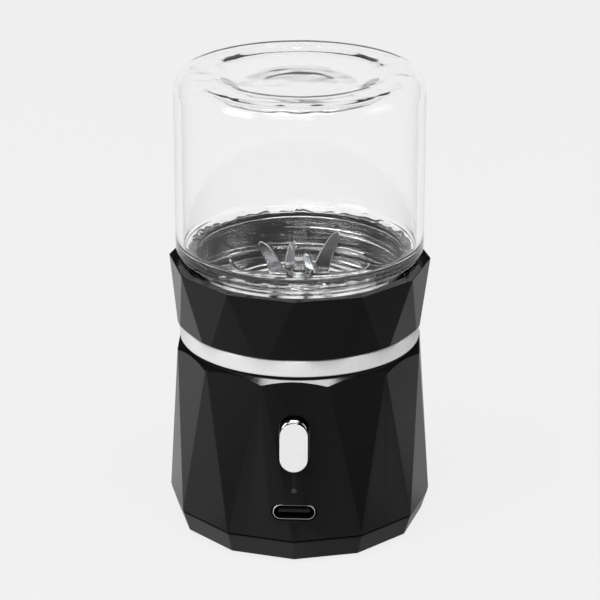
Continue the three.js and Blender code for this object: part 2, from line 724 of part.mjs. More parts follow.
function circuitBoard() {
  const board = faceBlock(2 * BOARD_HALF_WIDTH, ...BOARD_DEPTH, ...BOARD_HEIGHT);
  const holes = [-1, 1].map((side) => faceRod(SCREW_HOLE_R, 0, 10, side * BOARD_SCREW_X, BOARD_SCREW_HEIGHT));
  return cut(board, ...holes);
}

// ---- Battery and wires ----

function batteryCell() {
  const [width, depth, height, round] = [35, 20, 7.9, 1.2];
  const shape = new THREE.Shape();
  const [right, top] = [width / 2 - round, height - round];
  shape.absarc(right, round, round, -Math.PI / 2, 0, false);
  shape.absarc(right, top, round, 0, Math.PI / 2, false);
  shape.absarc(-right, top, round, Math.PI / 2, Math.PI, false);
  shape.absarc(-right, round, round, Math.PI, 1.5 * Math.PI, false);
  const slab = new THREE.ExtrudeGeometry(shape, { depth, bevelEnabled: false, curveSegments: 3 });
  return slab.rotateX(Math.PI / 2).translate(0, depth / 2, PLATE_FLOOR_Z + TOUCH_GAP);
}

function wire(points) {
  const section = new THREE.Shape().absarc(0, 0, 0.45, 0, 2 * Math.PI, false);
  const path = new THREE.CatmullRomCurve3(points.map((point) => new THREE.Vector3(...point)));
  const options = { steps: 12, bevelEnabled: false, curveSegments: 4, extrudePath: path };
  return new THREE.ExtrudeGeometry(section, options);
}

const motorLead = (side) =>
  wire([
    [side * TERMINAL_X, TERMINAL_Y - 1, 12.4],
    [side * TERMINAL_X, -12, 12.4],
    [side * 5.8, -16, 13.4],
    [side * 5, -19.5, 15],
  ]);

const batteryLead = (side) =>
  wire([
    [side * 2.5, -10.4, 8.6],
    [side * 2.5, -14, 8.6],
    [side * 3, -17, 9.6],
    [side * 3.4, -19.9, 10.4],
  ]);

// ---- Assembly ----

const part = new THREE.Group();
const front = new THREE.Group();
front.rotation.x = -FRONT_LEAN;
front.position.y = -FRONT_FOOT_R;
part.add(front);

function place(name, geometry, material, parent = part) {
  const mesh = new THREE.Mesh(geometry, material);
  mesh.name = name;
  parent.add(mesh);
  return mesh;
}

place("base_plate", basePlate(), blackPlastic());
place("base_shell", baseShell(), blackPlastic());
place("trim_ring", trimRing(), whitePlastic());
place("collar_shell", collarShell(), blackPlastic());
place("chamber_dish", chamberDish(), steel());
place("jar_seal", jarSeal(), rubber(0xd9dad8));
place("glass_jar", glassJar(), glass());

CORNER_ANGLES.forEach((angle, index) => {
  const [x, y] = around(CORNER_RING_R, angle);
  const foot = rod(FOOT_R, 0, FOOT_TOP_Z, 0, 0, MID_ROUND);
  place(`foot_${index + 1}`, foot, rubber(0x222222)).position.set(x, y, 0);
  place(`base_screw_${index + 1}`, screw(1.4, 7), zincSteel()).position.set(x, y, 1.75);
});
COLLAR_SCREW_ANGLES.forEach((angle, index) => {
  const [x, y] = around(COLLAR_SCREW_RING_R, angle);
  place(`collar_screw_${index + 1}`, screw(1.4, 6.2), zincSteel()).position.set(x, y, 40.3);
});

const flatBlade = stripBlade({
  flat: 10.4,
  bendR: 5,
  bendDeg: 60,
  length: 16.3,
  rootWidth: 4.4,
  tipWidth: 2.8,
  sweep: 0.6,
});
const tallBlade = earedBlade({
  flat: 1.4,
  bendR: 0.7,
  bendDeg: 79,
  length: 8.55,
  rootX: 4.35,
  rootWidth: 2.7,
  tipWidth: 2.2,
  sweep: 3.7,
});
const shortBlade = earedBlade({
  flat: 1.7,
  bendR: 0.7,
  bendDeg: 67,
  length: 5.8,
  rootX: -2.33,
  rootWidth: 1.85,
  tipWidth: 1.4,
  sweep: 1,
});
const bladeMiddleZ = (level) => BLADE_STACK_Z + BLADE_THICKNESS / 2 + level * (BLADE_THICKNESS + SEAT_GAP);
place("blade_flat", flatBlade, steel()).position.z = bladeMiddleZ(0);
place("blade_tall", tallBlade, steel()).position.z = bladeMiddleZ(1);
place("blade_short", shortBlade, steel()).position.z = bladeMiddleZ(2);
place("blade_hub", bladeHub(), steel());
place("blade_nut", bladeNut(), steel()).position.z = BLADE_STACK_Z + 3 * (BLADE_THICKNESS + SEAT_GAP);
place("shaft_seal", shaftSeal(), rubber(0x3a3a3a));

place("motor_shaft", rod(SHAFT_R, ...SHAFT_Z), steel());
place("motor_can", motorCan(), zincSteel());
place("motor_end_bell", motorEndBell(), finish(0xd8d4c8, 0.6));
place("front_bush", tube(2, SHAFT_BORE_R, 45.2, 47.6, SMALL_ROUND), bronze());
place("rear_bush", tube(2.5, SHAFT_BORE_R, 14.7, 17.4, SMALL_ROUND), bronze());
place("motor_armature", motorArmature(), zincSteel());
place("motor_commutator", tube(3.2, SHAFT_BORE_R, 19, 23, SMALL_ROUND), bronze());
place("motor_magnet_left", magnet(-1), finish(0x3c3c3e, 0.7));
place("motor_magnet_right", magnet(1), finish(0x3c3c3e, 0.7));
[-1, 1].forEach((side, index) => {
  const motorScrew = place(`motor_screw_${index + 1}`, screw(1, 4), zincSteel());
  motorScrew.rotation.x = Math.PI;
  motorScrew.position.set(side * MOTOR_SCREW_X, 0, 48.7);
  const terminal = block(1.6, 0.5, 3.5, side * TERMINAL_X, TERMINAL_Y, 13.75);
  place(`motor_terminal_${index + 1}`, terminal, bronze());
  place(`motor_lead_${index + 1}`, motorLead(side), rubber(side > 0 ? 0xb02020 : 0x202020));
  place(`battery_lead_${index + 1}`, batteryLead(side), rubber(side > 0 ? 0xb02020 : 0x202020));
});

place("battery_cell", batteryCell(), finish(0xb8bcc2, 0.45, 0.4));
place("circuit_board", circuitBoard(), finish(0x1f5b36, 0.5), front);
[-1, 1].forEach((side, index) => {
  const boardScrew = place(`board_screw_${index + 1}`, screw(1.2, 4.6), zincSteel(), front);
  boardScrew.rotation.x = Math.PI / 2;
  boardScrew.position.set(side * BOARD_SCREW_X, BOARD_DEPTH[1] + TOUCH_GAP + 1.2, BOARD_SCREW_HEIGHT);
});
place("button_cap", buttonCap(), whitePlastic(), front);
place("switch_body", switchBody(), blackPlastic(), front);
place("switch_plunger", faceRod(PLUNGER_R, ...PLUNGER_DEPTH, 0, BUTTON_HEIGHT), blackPlastic(), front);
place("usb_socket_shell", usbSocketShell(), steel(), front);
place("usb_tongue", usbTongue(), blackPlastic(), front);
place("charge_lamp", faceBlock(1.6, 5.4, 6.2, LAMP_HEIGHT - 0.5, LAMP_HEIGHT + 0.5), whitePlastic(), front);
place("light_pipe", lightPipe(), finish(0x4a4a4c, 0.3), front);

export default part;
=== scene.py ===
"""The looks of a small rechargeable jar grinder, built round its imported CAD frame. Metres, +Z up."""

import json
import math

import bmesh
import bpy
from mathutils import Matrix, Vector, noise

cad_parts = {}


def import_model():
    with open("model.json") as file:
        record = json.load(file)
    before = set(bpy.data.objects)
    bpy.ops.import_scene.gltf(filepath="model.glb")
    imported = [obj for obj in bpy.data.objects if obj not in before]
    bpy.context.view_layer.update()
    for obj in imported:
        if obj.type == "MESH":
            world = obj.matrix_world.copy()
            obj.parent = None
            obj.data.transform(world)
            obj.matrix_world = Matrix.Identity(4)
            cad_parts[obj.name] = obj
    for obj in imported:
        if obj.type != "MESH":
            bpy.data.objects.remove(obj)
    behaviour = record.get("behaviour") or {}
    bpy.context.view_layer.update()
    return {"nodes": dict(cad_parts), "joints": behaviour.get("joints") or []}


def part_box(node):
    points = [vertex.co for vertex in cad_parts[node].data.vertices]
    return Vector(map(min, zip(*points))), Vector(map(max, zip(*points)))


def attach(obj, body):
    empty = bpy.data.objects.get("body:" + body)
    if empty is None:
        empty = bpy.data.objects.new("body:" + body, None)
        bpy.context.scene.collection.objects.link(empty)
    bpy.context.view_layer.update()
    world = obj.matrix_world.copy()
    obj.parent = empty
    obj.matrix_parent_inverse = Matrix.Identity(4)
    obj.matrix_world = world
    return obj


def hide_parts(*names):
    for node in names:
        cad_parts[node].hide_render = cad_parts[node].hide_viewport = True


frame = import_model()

MM = 0.001
TAU = 2 * math.pi
ROUND = 144

# ---- Places taken from the frame ----

PLATE_LOW, PLATE_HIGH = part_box("base_plate")
SHELL_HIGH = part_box("base_shell")[1]
RING_LOW, RING_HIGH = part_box("trim_ring")
COLLAR_LOW, COLLAR_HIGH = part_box("collar_shell")
JAR_LOW, JAR_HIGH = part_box("glass_jar")
NUT_LOW, NUT_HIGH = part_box("blade_nut")
PRESS = next(joint for joint in frame["joints"] if joint["name"] == "button_press")

# ---- Driving sizes, in metres ----

# Faceted shells

FOOT_NAMES = [f"foot_{k}" for k in range(1, 5)]
FACETS = 12
FACET_STEP = TAU / FACETS
BASE_LOW_R = 26.86 * MM
BASE_WIDE_R = 28.44 * MM
BASE_WIDE_Z = 5.5 * MM
BASE_TOP_R = 26.8 * MM
BASE_TOP_CORNER_Z = 41.1 * MM
BASE_TOP_Z = 41.85 * MM
SHELL_BOTTOM_Z = 5.65 * MM
SHELL_INNER_R = 24.2 * MM
SHELL_ROOF_Z = 39.6 * MM
SPIGOT_R = 21.9 * MM
SPIGOT_BORE_R = 14.5 * MM
PLATE_INNER_R = 25 * MM
PLATE_FLOOR_Z = 3 * MM
SCREW_WELL_R = 2.25 * MM
SCREW_WELL_Z = 3.6 * MM
COLLAR_CORNER_Z = 43 * MM
COLLAR_CORNER_R = 26.3 * MM
COLLAR_TOP_R = 28 * MM
COLLAR_FLOOR_Z = 48.8 * MM
COLLAR_BORE_R = 25.3 * MM
TOWER_R = 5.5 * MM
TOWER_TOP_Z = 52.4 * MM
EDGE = 0.13 * MM

# Jar: its neck has a moulded bead and small ripples that spread the light
JAR_WALL = 1.6 * MM
JAR_TOP_ROUND = 3.3 * MM
JAR_INNER_ROUND = 2.2 * MM
NECK_R = 23.9 * MM
NECK_INNER_R = 22.2 * MM
SHOULDER_Z = 60.4 * MM
PUNT_DEPTH = 2.5 * MM
PUNT_R = (18.5 * MM, 12.5 * MM)
THREAD_HEIGHT = 0.85 * MM
RIPPLE = 0.2 * MM
RIPPLE_Z = 62.5 * MM
BEAD = 0.12 * MM
BEAD_LOW_Z = 58.6 * MM
BEAD_PITCH = 1.15 * MM
SEAM = 0.06 * MM

# Blades, stacked on the hub
BLADE_THICKNESS = 0.5 * MM
SEAT_R = 3 * MM
SEAT_BORE_R = 1.35 * MM
BLADE_Z = [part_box("blade_flat")[0].z + BLADE_THICKNESS / 2 + level * 0.65 * MM for level in range(3)]

# Screw thread, shared by the jar and the collar
THREAD_LEAD = 4 * MM
THREAD_START_Z = 52.6 * MM

# The front face leans back; its pieces are made upright and leaned with it.
_, LEAN_Y, LEAN_Z = PRESS["axis"]
LEAN = math.atan2(-LEAN_Z, LEAN_Y)
FRONT_FOOT_R = BASE_WIDE_R + BASE_WIDE_Z * math.tan(LEAN)
TO_FRONT = Matrix.Translation((0, -FRONT_FOOT_R, 0)) @ Matrix.Rotation(-LEAN, 4, "X")
PORT_HEIGHT = 12.06 * MM
LAMP_HEIGHT = 17.04 * MM
LAMP_HOLE_R = 0.68 * MM
LAMP_R = 0.62 * MM
BUTTON_HEIGHT = 27.77 * MM
BUTTON_WIDTH = 6.3 * MM
BUTTON_LENGTH = 11.65 * MM
BUTTON_PROUD = 2.4 * MM
FLANGE_WIDTH = 8.7 * MM
FLANGE_LENGTH = 13.45 * MM
FLANGE_DROP = 0.3 * MM
FLANGE_DEPTH = 1.9 * MM


# ---- Mesh helpers ----

def polar(radius, angle, z):
    """A point from its radius and its angle in radians from the front (-Y) towards +X."""
    return Vector((radius * math.sin(angle), -radius * math.cos(angle), z))


def corner_ring(radius, z, half_turned):
    """The twelve corners of a faceted shell at one height."""
    start = 0.5 if half_turned else 0
    return [polar(radius, (k + start) * FACET_STEP, z) for k in range(FACETS)]


def arc(centre, radius, start, end, steps):
    """Points of a rounded corner in (radius, height), angles in degrees, both ends included."""
    angles = [math.radians(start + (end - start) * k / steps) for k in range(steps + 1)]
    return [(centre[0] + radius * math.cos(a), centre[1] + radius * math.sin(a)) for a in angles]


def in_mm(*points):
    """Profile points given in millimetres, in metres."""
    return [(radius * MM, z * MM) for radius, z in points]


def footprint(node):
    """The low and high corners of a round node's box, its centre and its radius."""
    low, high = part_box(node)
    return low, high, (low + high) / 2, (high.x - low.x) / 2


def placed(name, data):
    """A new object in the scene."""
    obj = bpy.data.objects.new(name, data)
    bpy.context.scene.collection.objects.link(obj)
    return obj


def to_object(name, bm, matrix=None):
    """A mesh object made from a bmesh, facing outwards."""
    bmesh.ops.recalc_face_normals(bm, faces=bm.faces)
    mesh = bpy.data.meshes.new(name)
    bm.to_mesh(mesh)
    bm.free()
    if matrix is not None:
        mesh.transform(matrix)
    return placed(name, mesh)


def turned(profile, segments=ROUND, shift=None):
    """A turned bmesh from (radius, height) points; a profile off the axis closes on itself.

    shift(point, angle) may move each point, which makes threads and ripples."""
    bm = bmesh.new()
    on_axis = profile[0][0] < 1e-9
    rows = []
    for radius, z in profile:
        if radius < 1e-9:
            rows.append([bm.verts.new((0, 0, z))])
            continue
        row = []
        for k in range(segments):
            angle = TAU * k / segments
            r, height = shift((radius, z), angle) if shift else (radius, z)
            row.append(bm.verts.new((r * math.cos(angle), r * math.sin(angle), height)))
        rows.append(row)
    pairs = list(zip(rows, rows[1:]))
    if not on_axis:
        pairs.append((rows[-1], rows[0]))
    for low, high in pairs:
        for k in range(segments):
            n = (k + 1) % segments
            corners = [low[k % len(low)], low[n % len(low)], high[n % len(high)], high[k % len(high)]]
            unique = list(dict.fromkeys(corners))
            if len(unique) > 2:
                bm.faces.new(unique)
    return bm


def refined(profile, spacing):
    """The same profile with points no further apart than spacing."""
    points = [profile[0]]
    for (r0, z0), (r1, z1) in zip(profile, profile[1:]):
        steps = max(1, math.ceil(math.hypot(r1 - r0, z1 - z0) / spacing))
        points += [(r0 + (r1 - r0) * k / steps, z0 + (z1 - z0) * k / steps) for k in range(1, steps + 1)]
    return points


def rod(radius, z0, z1, x=0.0, y=0.0, chamfer=0.0, segments=48):
    """An upright rod with chamfered ends, as a bmesh."""
    c = chamfer
    profile = [(0, z0), (radius - c, z0), (radius, z0 + c), (radius, z1 - c), (radius - c, z1), (0, z1)]
    if not chamfer:
        profile = [(0, z0), (radius, z0), (radius, z1), (0, z1)]
    bm = turned(profile, segments)
    bmesh.ops.translate(bm, vec=(x, y, 0), verts=bm.verts)
    return bm


def hull(points, edge=EDGE):
    """A convex faceted solid with its edges rounded."""
    bm = bmesh.new()
    for point in points:
        bm.verts.new(point)
    bmesh.ops.convex_hull(bm, input=bm.verts)
    bmesh.ops.dissolve_limit(bm, angle_limit=math.radians(0.5), verts=bm.verts, edges=bm.edges)
    geom = list(bm.edges) + list(bm.verts)
    bmesh.ops.bevel(bm, geom=geom, offset=edge, segments=2, profile=0.5, affect="EDGES")
    return bm


def pill_outline(width, length, upright=True, steps=16):
    """Points round a pill, as (across, up)."""
    radius = min(width, length) / 2
    straight = max(width, length) / 2 - radius
    points = []
    for end, start in ((1, 0), (-1, 180)):
        for k in range(steps + 1):
            angle = math.radians(start + 180 * k / steps)
            points.append((radius * math.cos(angle), end * straight + radius * math.sin(angle)))
    return points if upright else [(-up, across) for across, up in points]


def lofted(bm, rows):
    """A closed solid through sections that all have the same number of corners."""
    rows = [[bm.verts.new(corner) for corner in row] for row in rows]
    for near, far in zip(rows, rows[1:]):
        for k in range(len(near)):
            n = (k + 1) % len(near)
            bm.faces.new((near[k], near[n], far[n], far[k]))
    bm.faces.new(rows[0])
    bm.faces.new(rows[-1])


def front_slab(layers, height):
    """A closed solid in front-face space from (outline, depth) layers, front first."""
    bm = bmesh.new()
    lofted(bm, [[(x, depth, height + up) for x, up in outline] for outline, depth in layers])
    return bm


def front_rod(radius, depth0, depth1, height):
    """A rod that points out of the front face, in front-face space."""
    bm = rod(radius, -depth1, -depth0)
    turn = Matrix.Translation((0, 0, height)) @ Matrix.Rotation(math.radians(90), 4, "X")
    bmesh.ops.transform(bm, matrix=turn, verts=bm.verts)
    return bm


def in_front(*made):
    """Leans bmeshes made in front-face space with the front face."""
    for bm in made:
        bmesh.ops.transform(bm, matrix=TO_FRONT, verts=bm.verts)
    return made


def combine(obj, tools, operation):
    """Cuts or joins bmeshes into an object, one after another."""
    for tool_bm in tools:
        tool = to_object("tool", tool_bm)
        change = obj.modifiers.new("combine", "BOOLEAN")
        change.operation = operation
        change.object = tool
        change.solver = "EXACT"
        apply_modifiers(obj)
        bpy.data.objects.remove(tool)


def apply_modifiers(obj):
    """Puts the result of an object's modifiers into its mesh."""
    graph = bpy.context.evaluated_depsgraph_get()
    mesh = bpy.data.meshes.new_from_object(obj.evaluated_get(graph))
    obj.modifiers.clear()
    old = obj.data
    obj.data = mesh
    bpy.data.meshes.remove(old)


def shade(obj, material, smooth_angle, edge=0.0):
    """Gives an object its material, smooth shading and, if asked, rounded edges."""
    obj.data.materials.clear()
    obj.data.materials.append(material)
    for polygon in obj.data.polygons:
        polygon.material_index = 0
        polygon.use_smooth = True
    obj.data.set_sharp_from_angle(angle=math.radians(smooth_angle))
    if edge:
        bevel = obj.modifiers.new("edge", "BEVEL")
        bevel.width = edge
        bevel.segments = 2
        bevel.limit_method = "ANGLE"
        bevel.angle_limit = math.radians(40)
    obj.modifiers.new("normals", "WEIGHTED_NORMAL").keep_sharp = True


def finish_piece(obj, material, body, replaced=(), smooth_angle=35):
    """Gives a piece its shading, material and body."""
    shade(obj, material, smooth_angle)
    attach(obj, body)
    if replaced:
        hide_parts(*replaced)


# ---- Materials ----

def add_node(tree, kind, inputs=(), **settings):
    """A new shader node with its settings made and its inputs set to values or linked to outputs."""
    node = tree.nodes.new("ShaderNode" + kind)
    for setting, value in settings.items():
        setattr(node, setting, value)
    for socket, value in dict(inputs).items():
        if isinstance(value, bpy.types.NodeSocket):
            tree.links.new(value, node.inputs[socket])
        else:
            node.inputs[socket].default_value = value
    return node


def computed(tree, operation, first, second):
    """The result of an operation on two values, each a number or an output."""
    return add_node(tree, "Math", {0: first, 1: second}, operation=operation).outputs[0]


def ranged(tree, source, low, high, value0, value1):
    """Takes a source from the range low to high to the range value0 to value1, and stops at its ends."""
    inputs = {"Value": source, "From Min": low, "From Max": high, "To Min": value0, "To Max": value1}
    return add_node(tree, "MapRange", inputs).outputs["Result"]


def mixed_by(tree, factor, first, second):
    """A value that is first where factor is 0 and second where it is 1."""
    return ranged(tree, factor, 0, 1, first, second)


class Look:
    """A node material with one Principled shader, and short ways to add detail to it."""

    def __init__(self, name, color, roughness, **sockets):
        self.material = bpy.data.materials.new(name)
        self.material.use_nodes = True
        self.tree = self.material.node_tree
        self.shader = self.tree.nodes["Principled BSDF"]
        self.color = (*color, 1)
        self.roughness = roughness
        self.shader.inputs["Base Color"].default_value = self.color
        self.shader.inputs["Roughness"].default_value = roughness
        for socket, value in sockets.items():
            self.shader.inputs[socket.replace("_", " ")].default_value = value
        self.coordinates = add_node(self.tree, "TexCoord").outputs["Object"]

    def link(self, source, target):
        self.tree.links.new(source, target)

    def noise(self, scale, detail=2.0, stretch=None):
        """Noise in object space: scale is in cycles per metre, stretch is per axis."""
        source = self.coordinates
        if stretch:
            source = add_node(self.tree, "Mapping", {"Vector": source, "Scale": stretch}).outputs["Vector"]
        inputs = {"Vector": source, "Scale": scale, "Detail": detail}
        return add_node(self.tree, "TexNoise", inputs).outputs["Fac"]

    def ramp(self, source, low, high, value0, value1):
        """Takes a source from one range of values to another."""
        return ranged(self.tree, source, low, high, value0, value1)

    def vary_roughness(self, source, spread):
        value = self.ramp(source, 0.3, 0.7, self.roughness - spread, self.roughness + spread)
        self.link(value, self.shader.inputs["Roughness"])

    def vary_color(self, source, other, low=0.35, high=0.7):
        """Blends the base colour towards another where the source is high."""
        share = self.ramp(source, low, high, 0, 1)
        inputs = {"A": self.color, "B": (*other, 1), "Factor": share}
        mix = add_node(self.tree, "Mix", inputs, data_type="RGBA")
        self.link(mix.outputs["Result"], self.shader.inputs["Base Color"])

    def bump(self, source, height, strength=1.0):
        """Raises the surface by the source, height in metres; a second call adds to the first."""
        node = add_node(self.tree, "Bump", {"Distance": height, "Strength": strength, "Height": source})
        normal = self.shader.inputs["Normal"]
        if normal.is_linked:
            self.link(normal.links[0].from_socket, node.inputs["Normal"])
        self.link(node.outputs["Normal"], normal)

    def lighten_convex_edges(self, other, amount):
        """Lightens the convex edges a little."""
        edge = add_node(self.tree, "NewGeometry").outputs["Pointiness"]
        self.vary_color(edge, other, 0.5 + 0.02 / amount, 0.5 + 0.1 / amount)


def black_plastic(name, shade_top_above=None):
    look = Look(name, (0.0015, 0.0015, 0.0016), 0.18, Specular_IOR_Level=0.5)
    if shade_top_above is not None:
        # Above this height the plastic's reflection is turned down: painted shade on the top face.
        place = add_node(look.tree, "SeparateXYZ", {"Vector": look.coordinates}).outputs
        top_shade_level = look.ramp(place["Z"], shade_top_above, shade_top_above + 0.05 * MM, 0.5, 0.14)
        look.link(top_shade_level, look.shader.inputs["Specular IOR Level"])
    look.vary_roughness(look.noise(900, 3), 0.035)
    look.bump(look.noise(6000, 2), 0.002 * MM, 0.1)
    look.bump(look.noise(220, 1), 0.02 * MM, 0.1)
    look.lighten_convex_edges((0.009, 0.009, 0.0095), 1.0)
    return look.material


def white_plastic(name):
    look = Look(name, (0.7, 0.7, 0.697), 0.3, Coat_Weight=0.25, Coat_Roughness=0.12)
    look.vary_roughness(look.noise(700, 3), 0.04)
    look.vary_color(look.noise(160, 2), (0.665, 0.665, 0.66))
    look.bump(look.noise(8000, 2), 0.003 * MM, 0.3)
    return look.material


def clear_glass():
    dim_mirror = (0.45, 0.45, 0.45, 1)
    look = Look("clear_glass", (1, 1, 1), 0.0, Transmission_Weight=1.0, IOR=1.47, Specular_Tint=dim_mirror)
    look.bump(look.noise(70, 1), 0.05 * MM, 0.12)
    return look.material


def steel(name, color=(0.56, 0.565, 0.575), roughness=0.16, grain=(40, 40, 4000), depth=0.002 * MM):
    look = Look(name, color, roughness, Metallic=1.0)
    look.vary_roughness(look.noise(500, 3), 0.05)
    look.vary_color(look.noise(90, 3), tuple(c * 0.85 for c in color))
    look.bump(look.noise(1, 2, grain), depth, 0.3)
    return look.material


def dished_steel():
    """Bright steel pressed in a round tool, which leaves faint uneven rings."""
    look = Look("polished_steel", (0.9, 0.905, 0.91), 0.08, Metallic=1.0)
    look.vary_roughness(look.noise(500, 3), 0.04)
    look.bump(look.noise(1, 2, (40, 40, 4000)), 0.0004 * MM, 0.3)
    inputs = {
        "Vector": look.coordinates, "Scale": 110, "Distortion": 3, "Detail": 1, "Detail Scale": 0.6,
    }
    rings = add_node(look.tree, "TexWave", inputs, wave_type="RINGS", rings_direction="Z")
    look.bump(rings.outputs["Fac"], 0.12 * MM)
    return look.material


def painted_shade_and_highlight_steel():
    """Rolled steel with its faces painted dark as painted shade, and its ground bevels and cut edges painted
    near white as a painted highlight.
    """
    look = Look("painted_shade_and_highlight_steel", (0.12, 0.122, 0.125), 0.2, Metallic=1.0)
    look.bump(look.noise(1, 2, (900, 900, 900)), 0.001 * MM, 0.3)
    # Convex edges are painted near white as a painted highlight, with a rougher finish there.
    edge = add_node(look.tree, "NewGeometry").outputs["Pointiness"]
    look.vary_color(edge, (0.95, 0.95, 0.96), 0.53, 0.6)
    look.link(look.ramp(edge, 0.53, 0.6, 0.2, 0.45), look.shader.inputs["Roughness"])
    return look.material


def matt(name, color, roughness=0.65, grain=4000, depth=0.01 * MM):
    look = Look(name, color, roughness)
    look.vary_roughness(look.noise(800, 2), 0.06)
    look.vary_color(look.noise(300, 3), tuple(c * 0.8 for c in color))
    look.bump(look.noise(grain, 2), depth, 0.5)
    return look.material


BLACK = black_plastic("black_plastic")
# The collar's top face has its reflection turned down as painted shade.
COLLAR_BLACK = black_plastic("collar_plastic", COLLAR_HIGH.z - 0.12 * MM)
WHITE = white_plastic("white_plastic")
GLASS = clear_glass()
DISH_STEEL = dished_steel()
PAINTED_SHADE_AND_HIGHLIGHT_STEEL = painted_shade_and_highlight_steel()
BRIGHT_STEEL = steel("bright_steel")
PLATED = steel("plated", (0.25, 0.252, 0.258), 0.12, (600, 600, 600))
# Near-black steel for the socket's inner faces: painted shade.
SHADED_STEEL = steel("shaded_steel", (0.02, 0.02, 0.02), 0.5)
# Near-white rough steel for the socket shell's outer faces: a painted highlight on its rim.
PAINTED_HIGHLIGHT_STEEL = steel("painted_highlight_steel", (0.98, 0.98, 0.98), 0.62)
ZINC = steel("zinc_steel", (0.42, 0.43, 0.44), 0.34)
BRONZE = steel("bronze", (0.52, 0.33, 0.14), 0.38)
RUBBER = matt("dark_rubber", (0.018, 0.018, 0.018), 0.75)
SILICONE = matt("silicone", (0.03, 0.03, 0.031), 0.45)
DARK_PLASTIC = matt("dark_plastic", (0.012, 0.012, 0.012), 0.55)
SMOKED = matt("smoked_plastic", (0.05, 0.05, 0.052), 0.25, depth=0.002 * MM)
NYLON = matt("motor_plastic", (0.62, 0.58, 0.48), 0.55)
FERRITE = matt("ferrite", (0.045, 0.045, 0.05), 0.7)
WIRE_BLACK = matt("wire_black", (0.012, 0.012, 0.012), 0.5)
WIRE_RED = matt("wire_red", (0.42, 0.02, 0.02), 0.5)
FOIL = steel("cell_foil", (0.55, 0.56, 0.58), 0.35, (60, 60, 60))
BOARD = matt("board_green", (0.012, 0.1, 0.035), 0.4, 1500)


# ---- Base ----

def top_chamfer_tool():
    """A solid whose top is a cone; the base keeps only what lies inside it."""
    side, low = BASE_WIDE_R * 1.1, -5 * MM
    profile = [(0, low), (side, low), (side, 36.3 * MM), (BASE_TOP_R - 1.62 * MM, BASE_TOP_Z - 0.13 * MM)]
    profile += [(BASE_TOP_R - 1.9 * MM, BASE_TOP_Z), (0, BASE_TOP_Z)]
    return turned(profile, 180)


def base_shell():
    points = corner_ring(BASE_WIDE_R, BASE_WIDE_Z, False)
    points += corner_ring(BASE_TOP_R, BASE_TOP_CORNER_Z, True)
    points += corner_ring(BASE_TOP_R - 0.8 * MM, BASE_TOP_Z + MM, True)
    shell = to_object("base_housing", hull(points))
    below = rod(BASE_WIDE_R * 1.2, 0, SHELL_BOTTOM_Z)
    cavity = rod(SHELL_INNER_R, 0, SHELL_ROOF_Z, segments=ROUND)
    bore = rod(SPIGOT_BORE_R, 0, BASE_TOP_Z * 1.2, segments=ROUND)
    combine(shell, [top_chamfer_tool()], "INTERSECT")
    combine(shell, [below, cavity, bore], "DIFFERENCE")
    lamp_hole = front_rod(LAMP_HOLE_R, -MM, 5 * MM, LAMP_HEIGHT)
    front_tools = in_front(button_opening(), button_pocket(), lamp_hole, port_opening())
    combine(shell, front_tools, "DIFFERENCE")
    low, high, edge = SHELL_ROOF_Z + 0.4 * MM, SHELL_HIGH.z, 0.3 * MM
    spigot = turned(
        [(SPIGOT_BORE_R, low), (SPIGOT_R, low), (SPIGOT_R, high - edge), (SPIGOT_R - edge, high),
         (SPIGOT_BORE_R, high)]
    )
    combine(shell, [spigot], "UNION")
    finish_piece(shell, BLACK, "housing", ["base_shell"], 24)


def button_opening():
    """The hole for the button, with its mouth rounded."""
    gap = 0.22 * MM
    lip = 0.1 * MM
    tight = pill_outline(BUTTON_WIDTH + 2 * gap, BUTTON_LENGTH + 2 * gap)
    wide = pill_outline(BUTTON_WIDTH + 2 * (gap + lip), BUTTON_LENGTH + 2 * (gap + lip))
    half = pill_outline(BUTTON_WIDTH + 2 * gap + 0.3 * lip, BUTTON_LENGTH + 2 * gap + 0.3 * lip)
    layers = [(wide, -2 * MM), (wide, -0.02 * MM), (half, 0.04 * MM), (tight, 0.1 * MM), (tight, 5 * MM)]
    return front_slab(layers, BUTTON_HEIGHT)


def button_pocket():
    """A flat-bottomed pocket in the curved inside of the wall, where the button's flange sits."""
    room = 0.3 * MM
    outline = pill_outline(FLANGE_WIDTH + 2 * room, FLANGE_LENGTH + 2 * room)
    outline = [(across, up - FLANGE_DROP) for across, up in outline]
    return front_slab([(outline, FLANGE_DEPTH - 0.1 * MM), (outline, 5 * MM)], BUTTON_HEIGHT)


def port_opening():
    """The recess round the socket's mouth, with a bevel."""
    wide = pill_outline(3.9 * MM, 9.85 * MM, upright=False)
    tight = pill_outline(3.8 * MM, 9.75 * MM, upright=False)
    layers = [(wide, -MM), (wide, -0.02 * MM), (tight, 0.1 * MM), (tight, 5 * MM)]
    return front_slab(layers, PORT_HEIGHT)


def base_plate():
    top_z = PLATE_HIGH.z
    share = (top_z - PLATE_LOW.z) / (BASE_WIDE_Z - PLATE_LOW.z)
    top_r = BASE_LOW_R + (BASE_WIDE_R - BASE_LOW_R) * share
    plate = to_object(
        "bottom_cover",
        hull(corner_ring(BASE_LOW_R, PLATE_LOW.z, False) + corner_ring(top_r, top_z, False), 0.25 * MM),
    )
    cavity = rod(PLATE_INNER_R, PLATE_FLOOR_Z, BASE_WIDE_Z * 1.2, segments=ROUND)
    panel = turned(
        in_mm((0, -1), (13.6, -1), (13.6, 0.75), (13.3, 0.95), (0, 0.95))
    )
    tools = [cavity, panel]
    for name in FOOT_NAMES:
        _, high, centre, radius = footprint(name)
        tools.append(rod(radius + 0.3 * MM, -MM, high.z + 0.3 * MM, centre.x, centre.y))
        tools.append(rod(SCREW_WELL_R, 0, SCREW_WELL_Z, centre.x, centre.y))
    combine(plate, tools, "DIFFERENCE")
    finish_piece(plate, BLACK, "housing", ["base_plate"], 24)


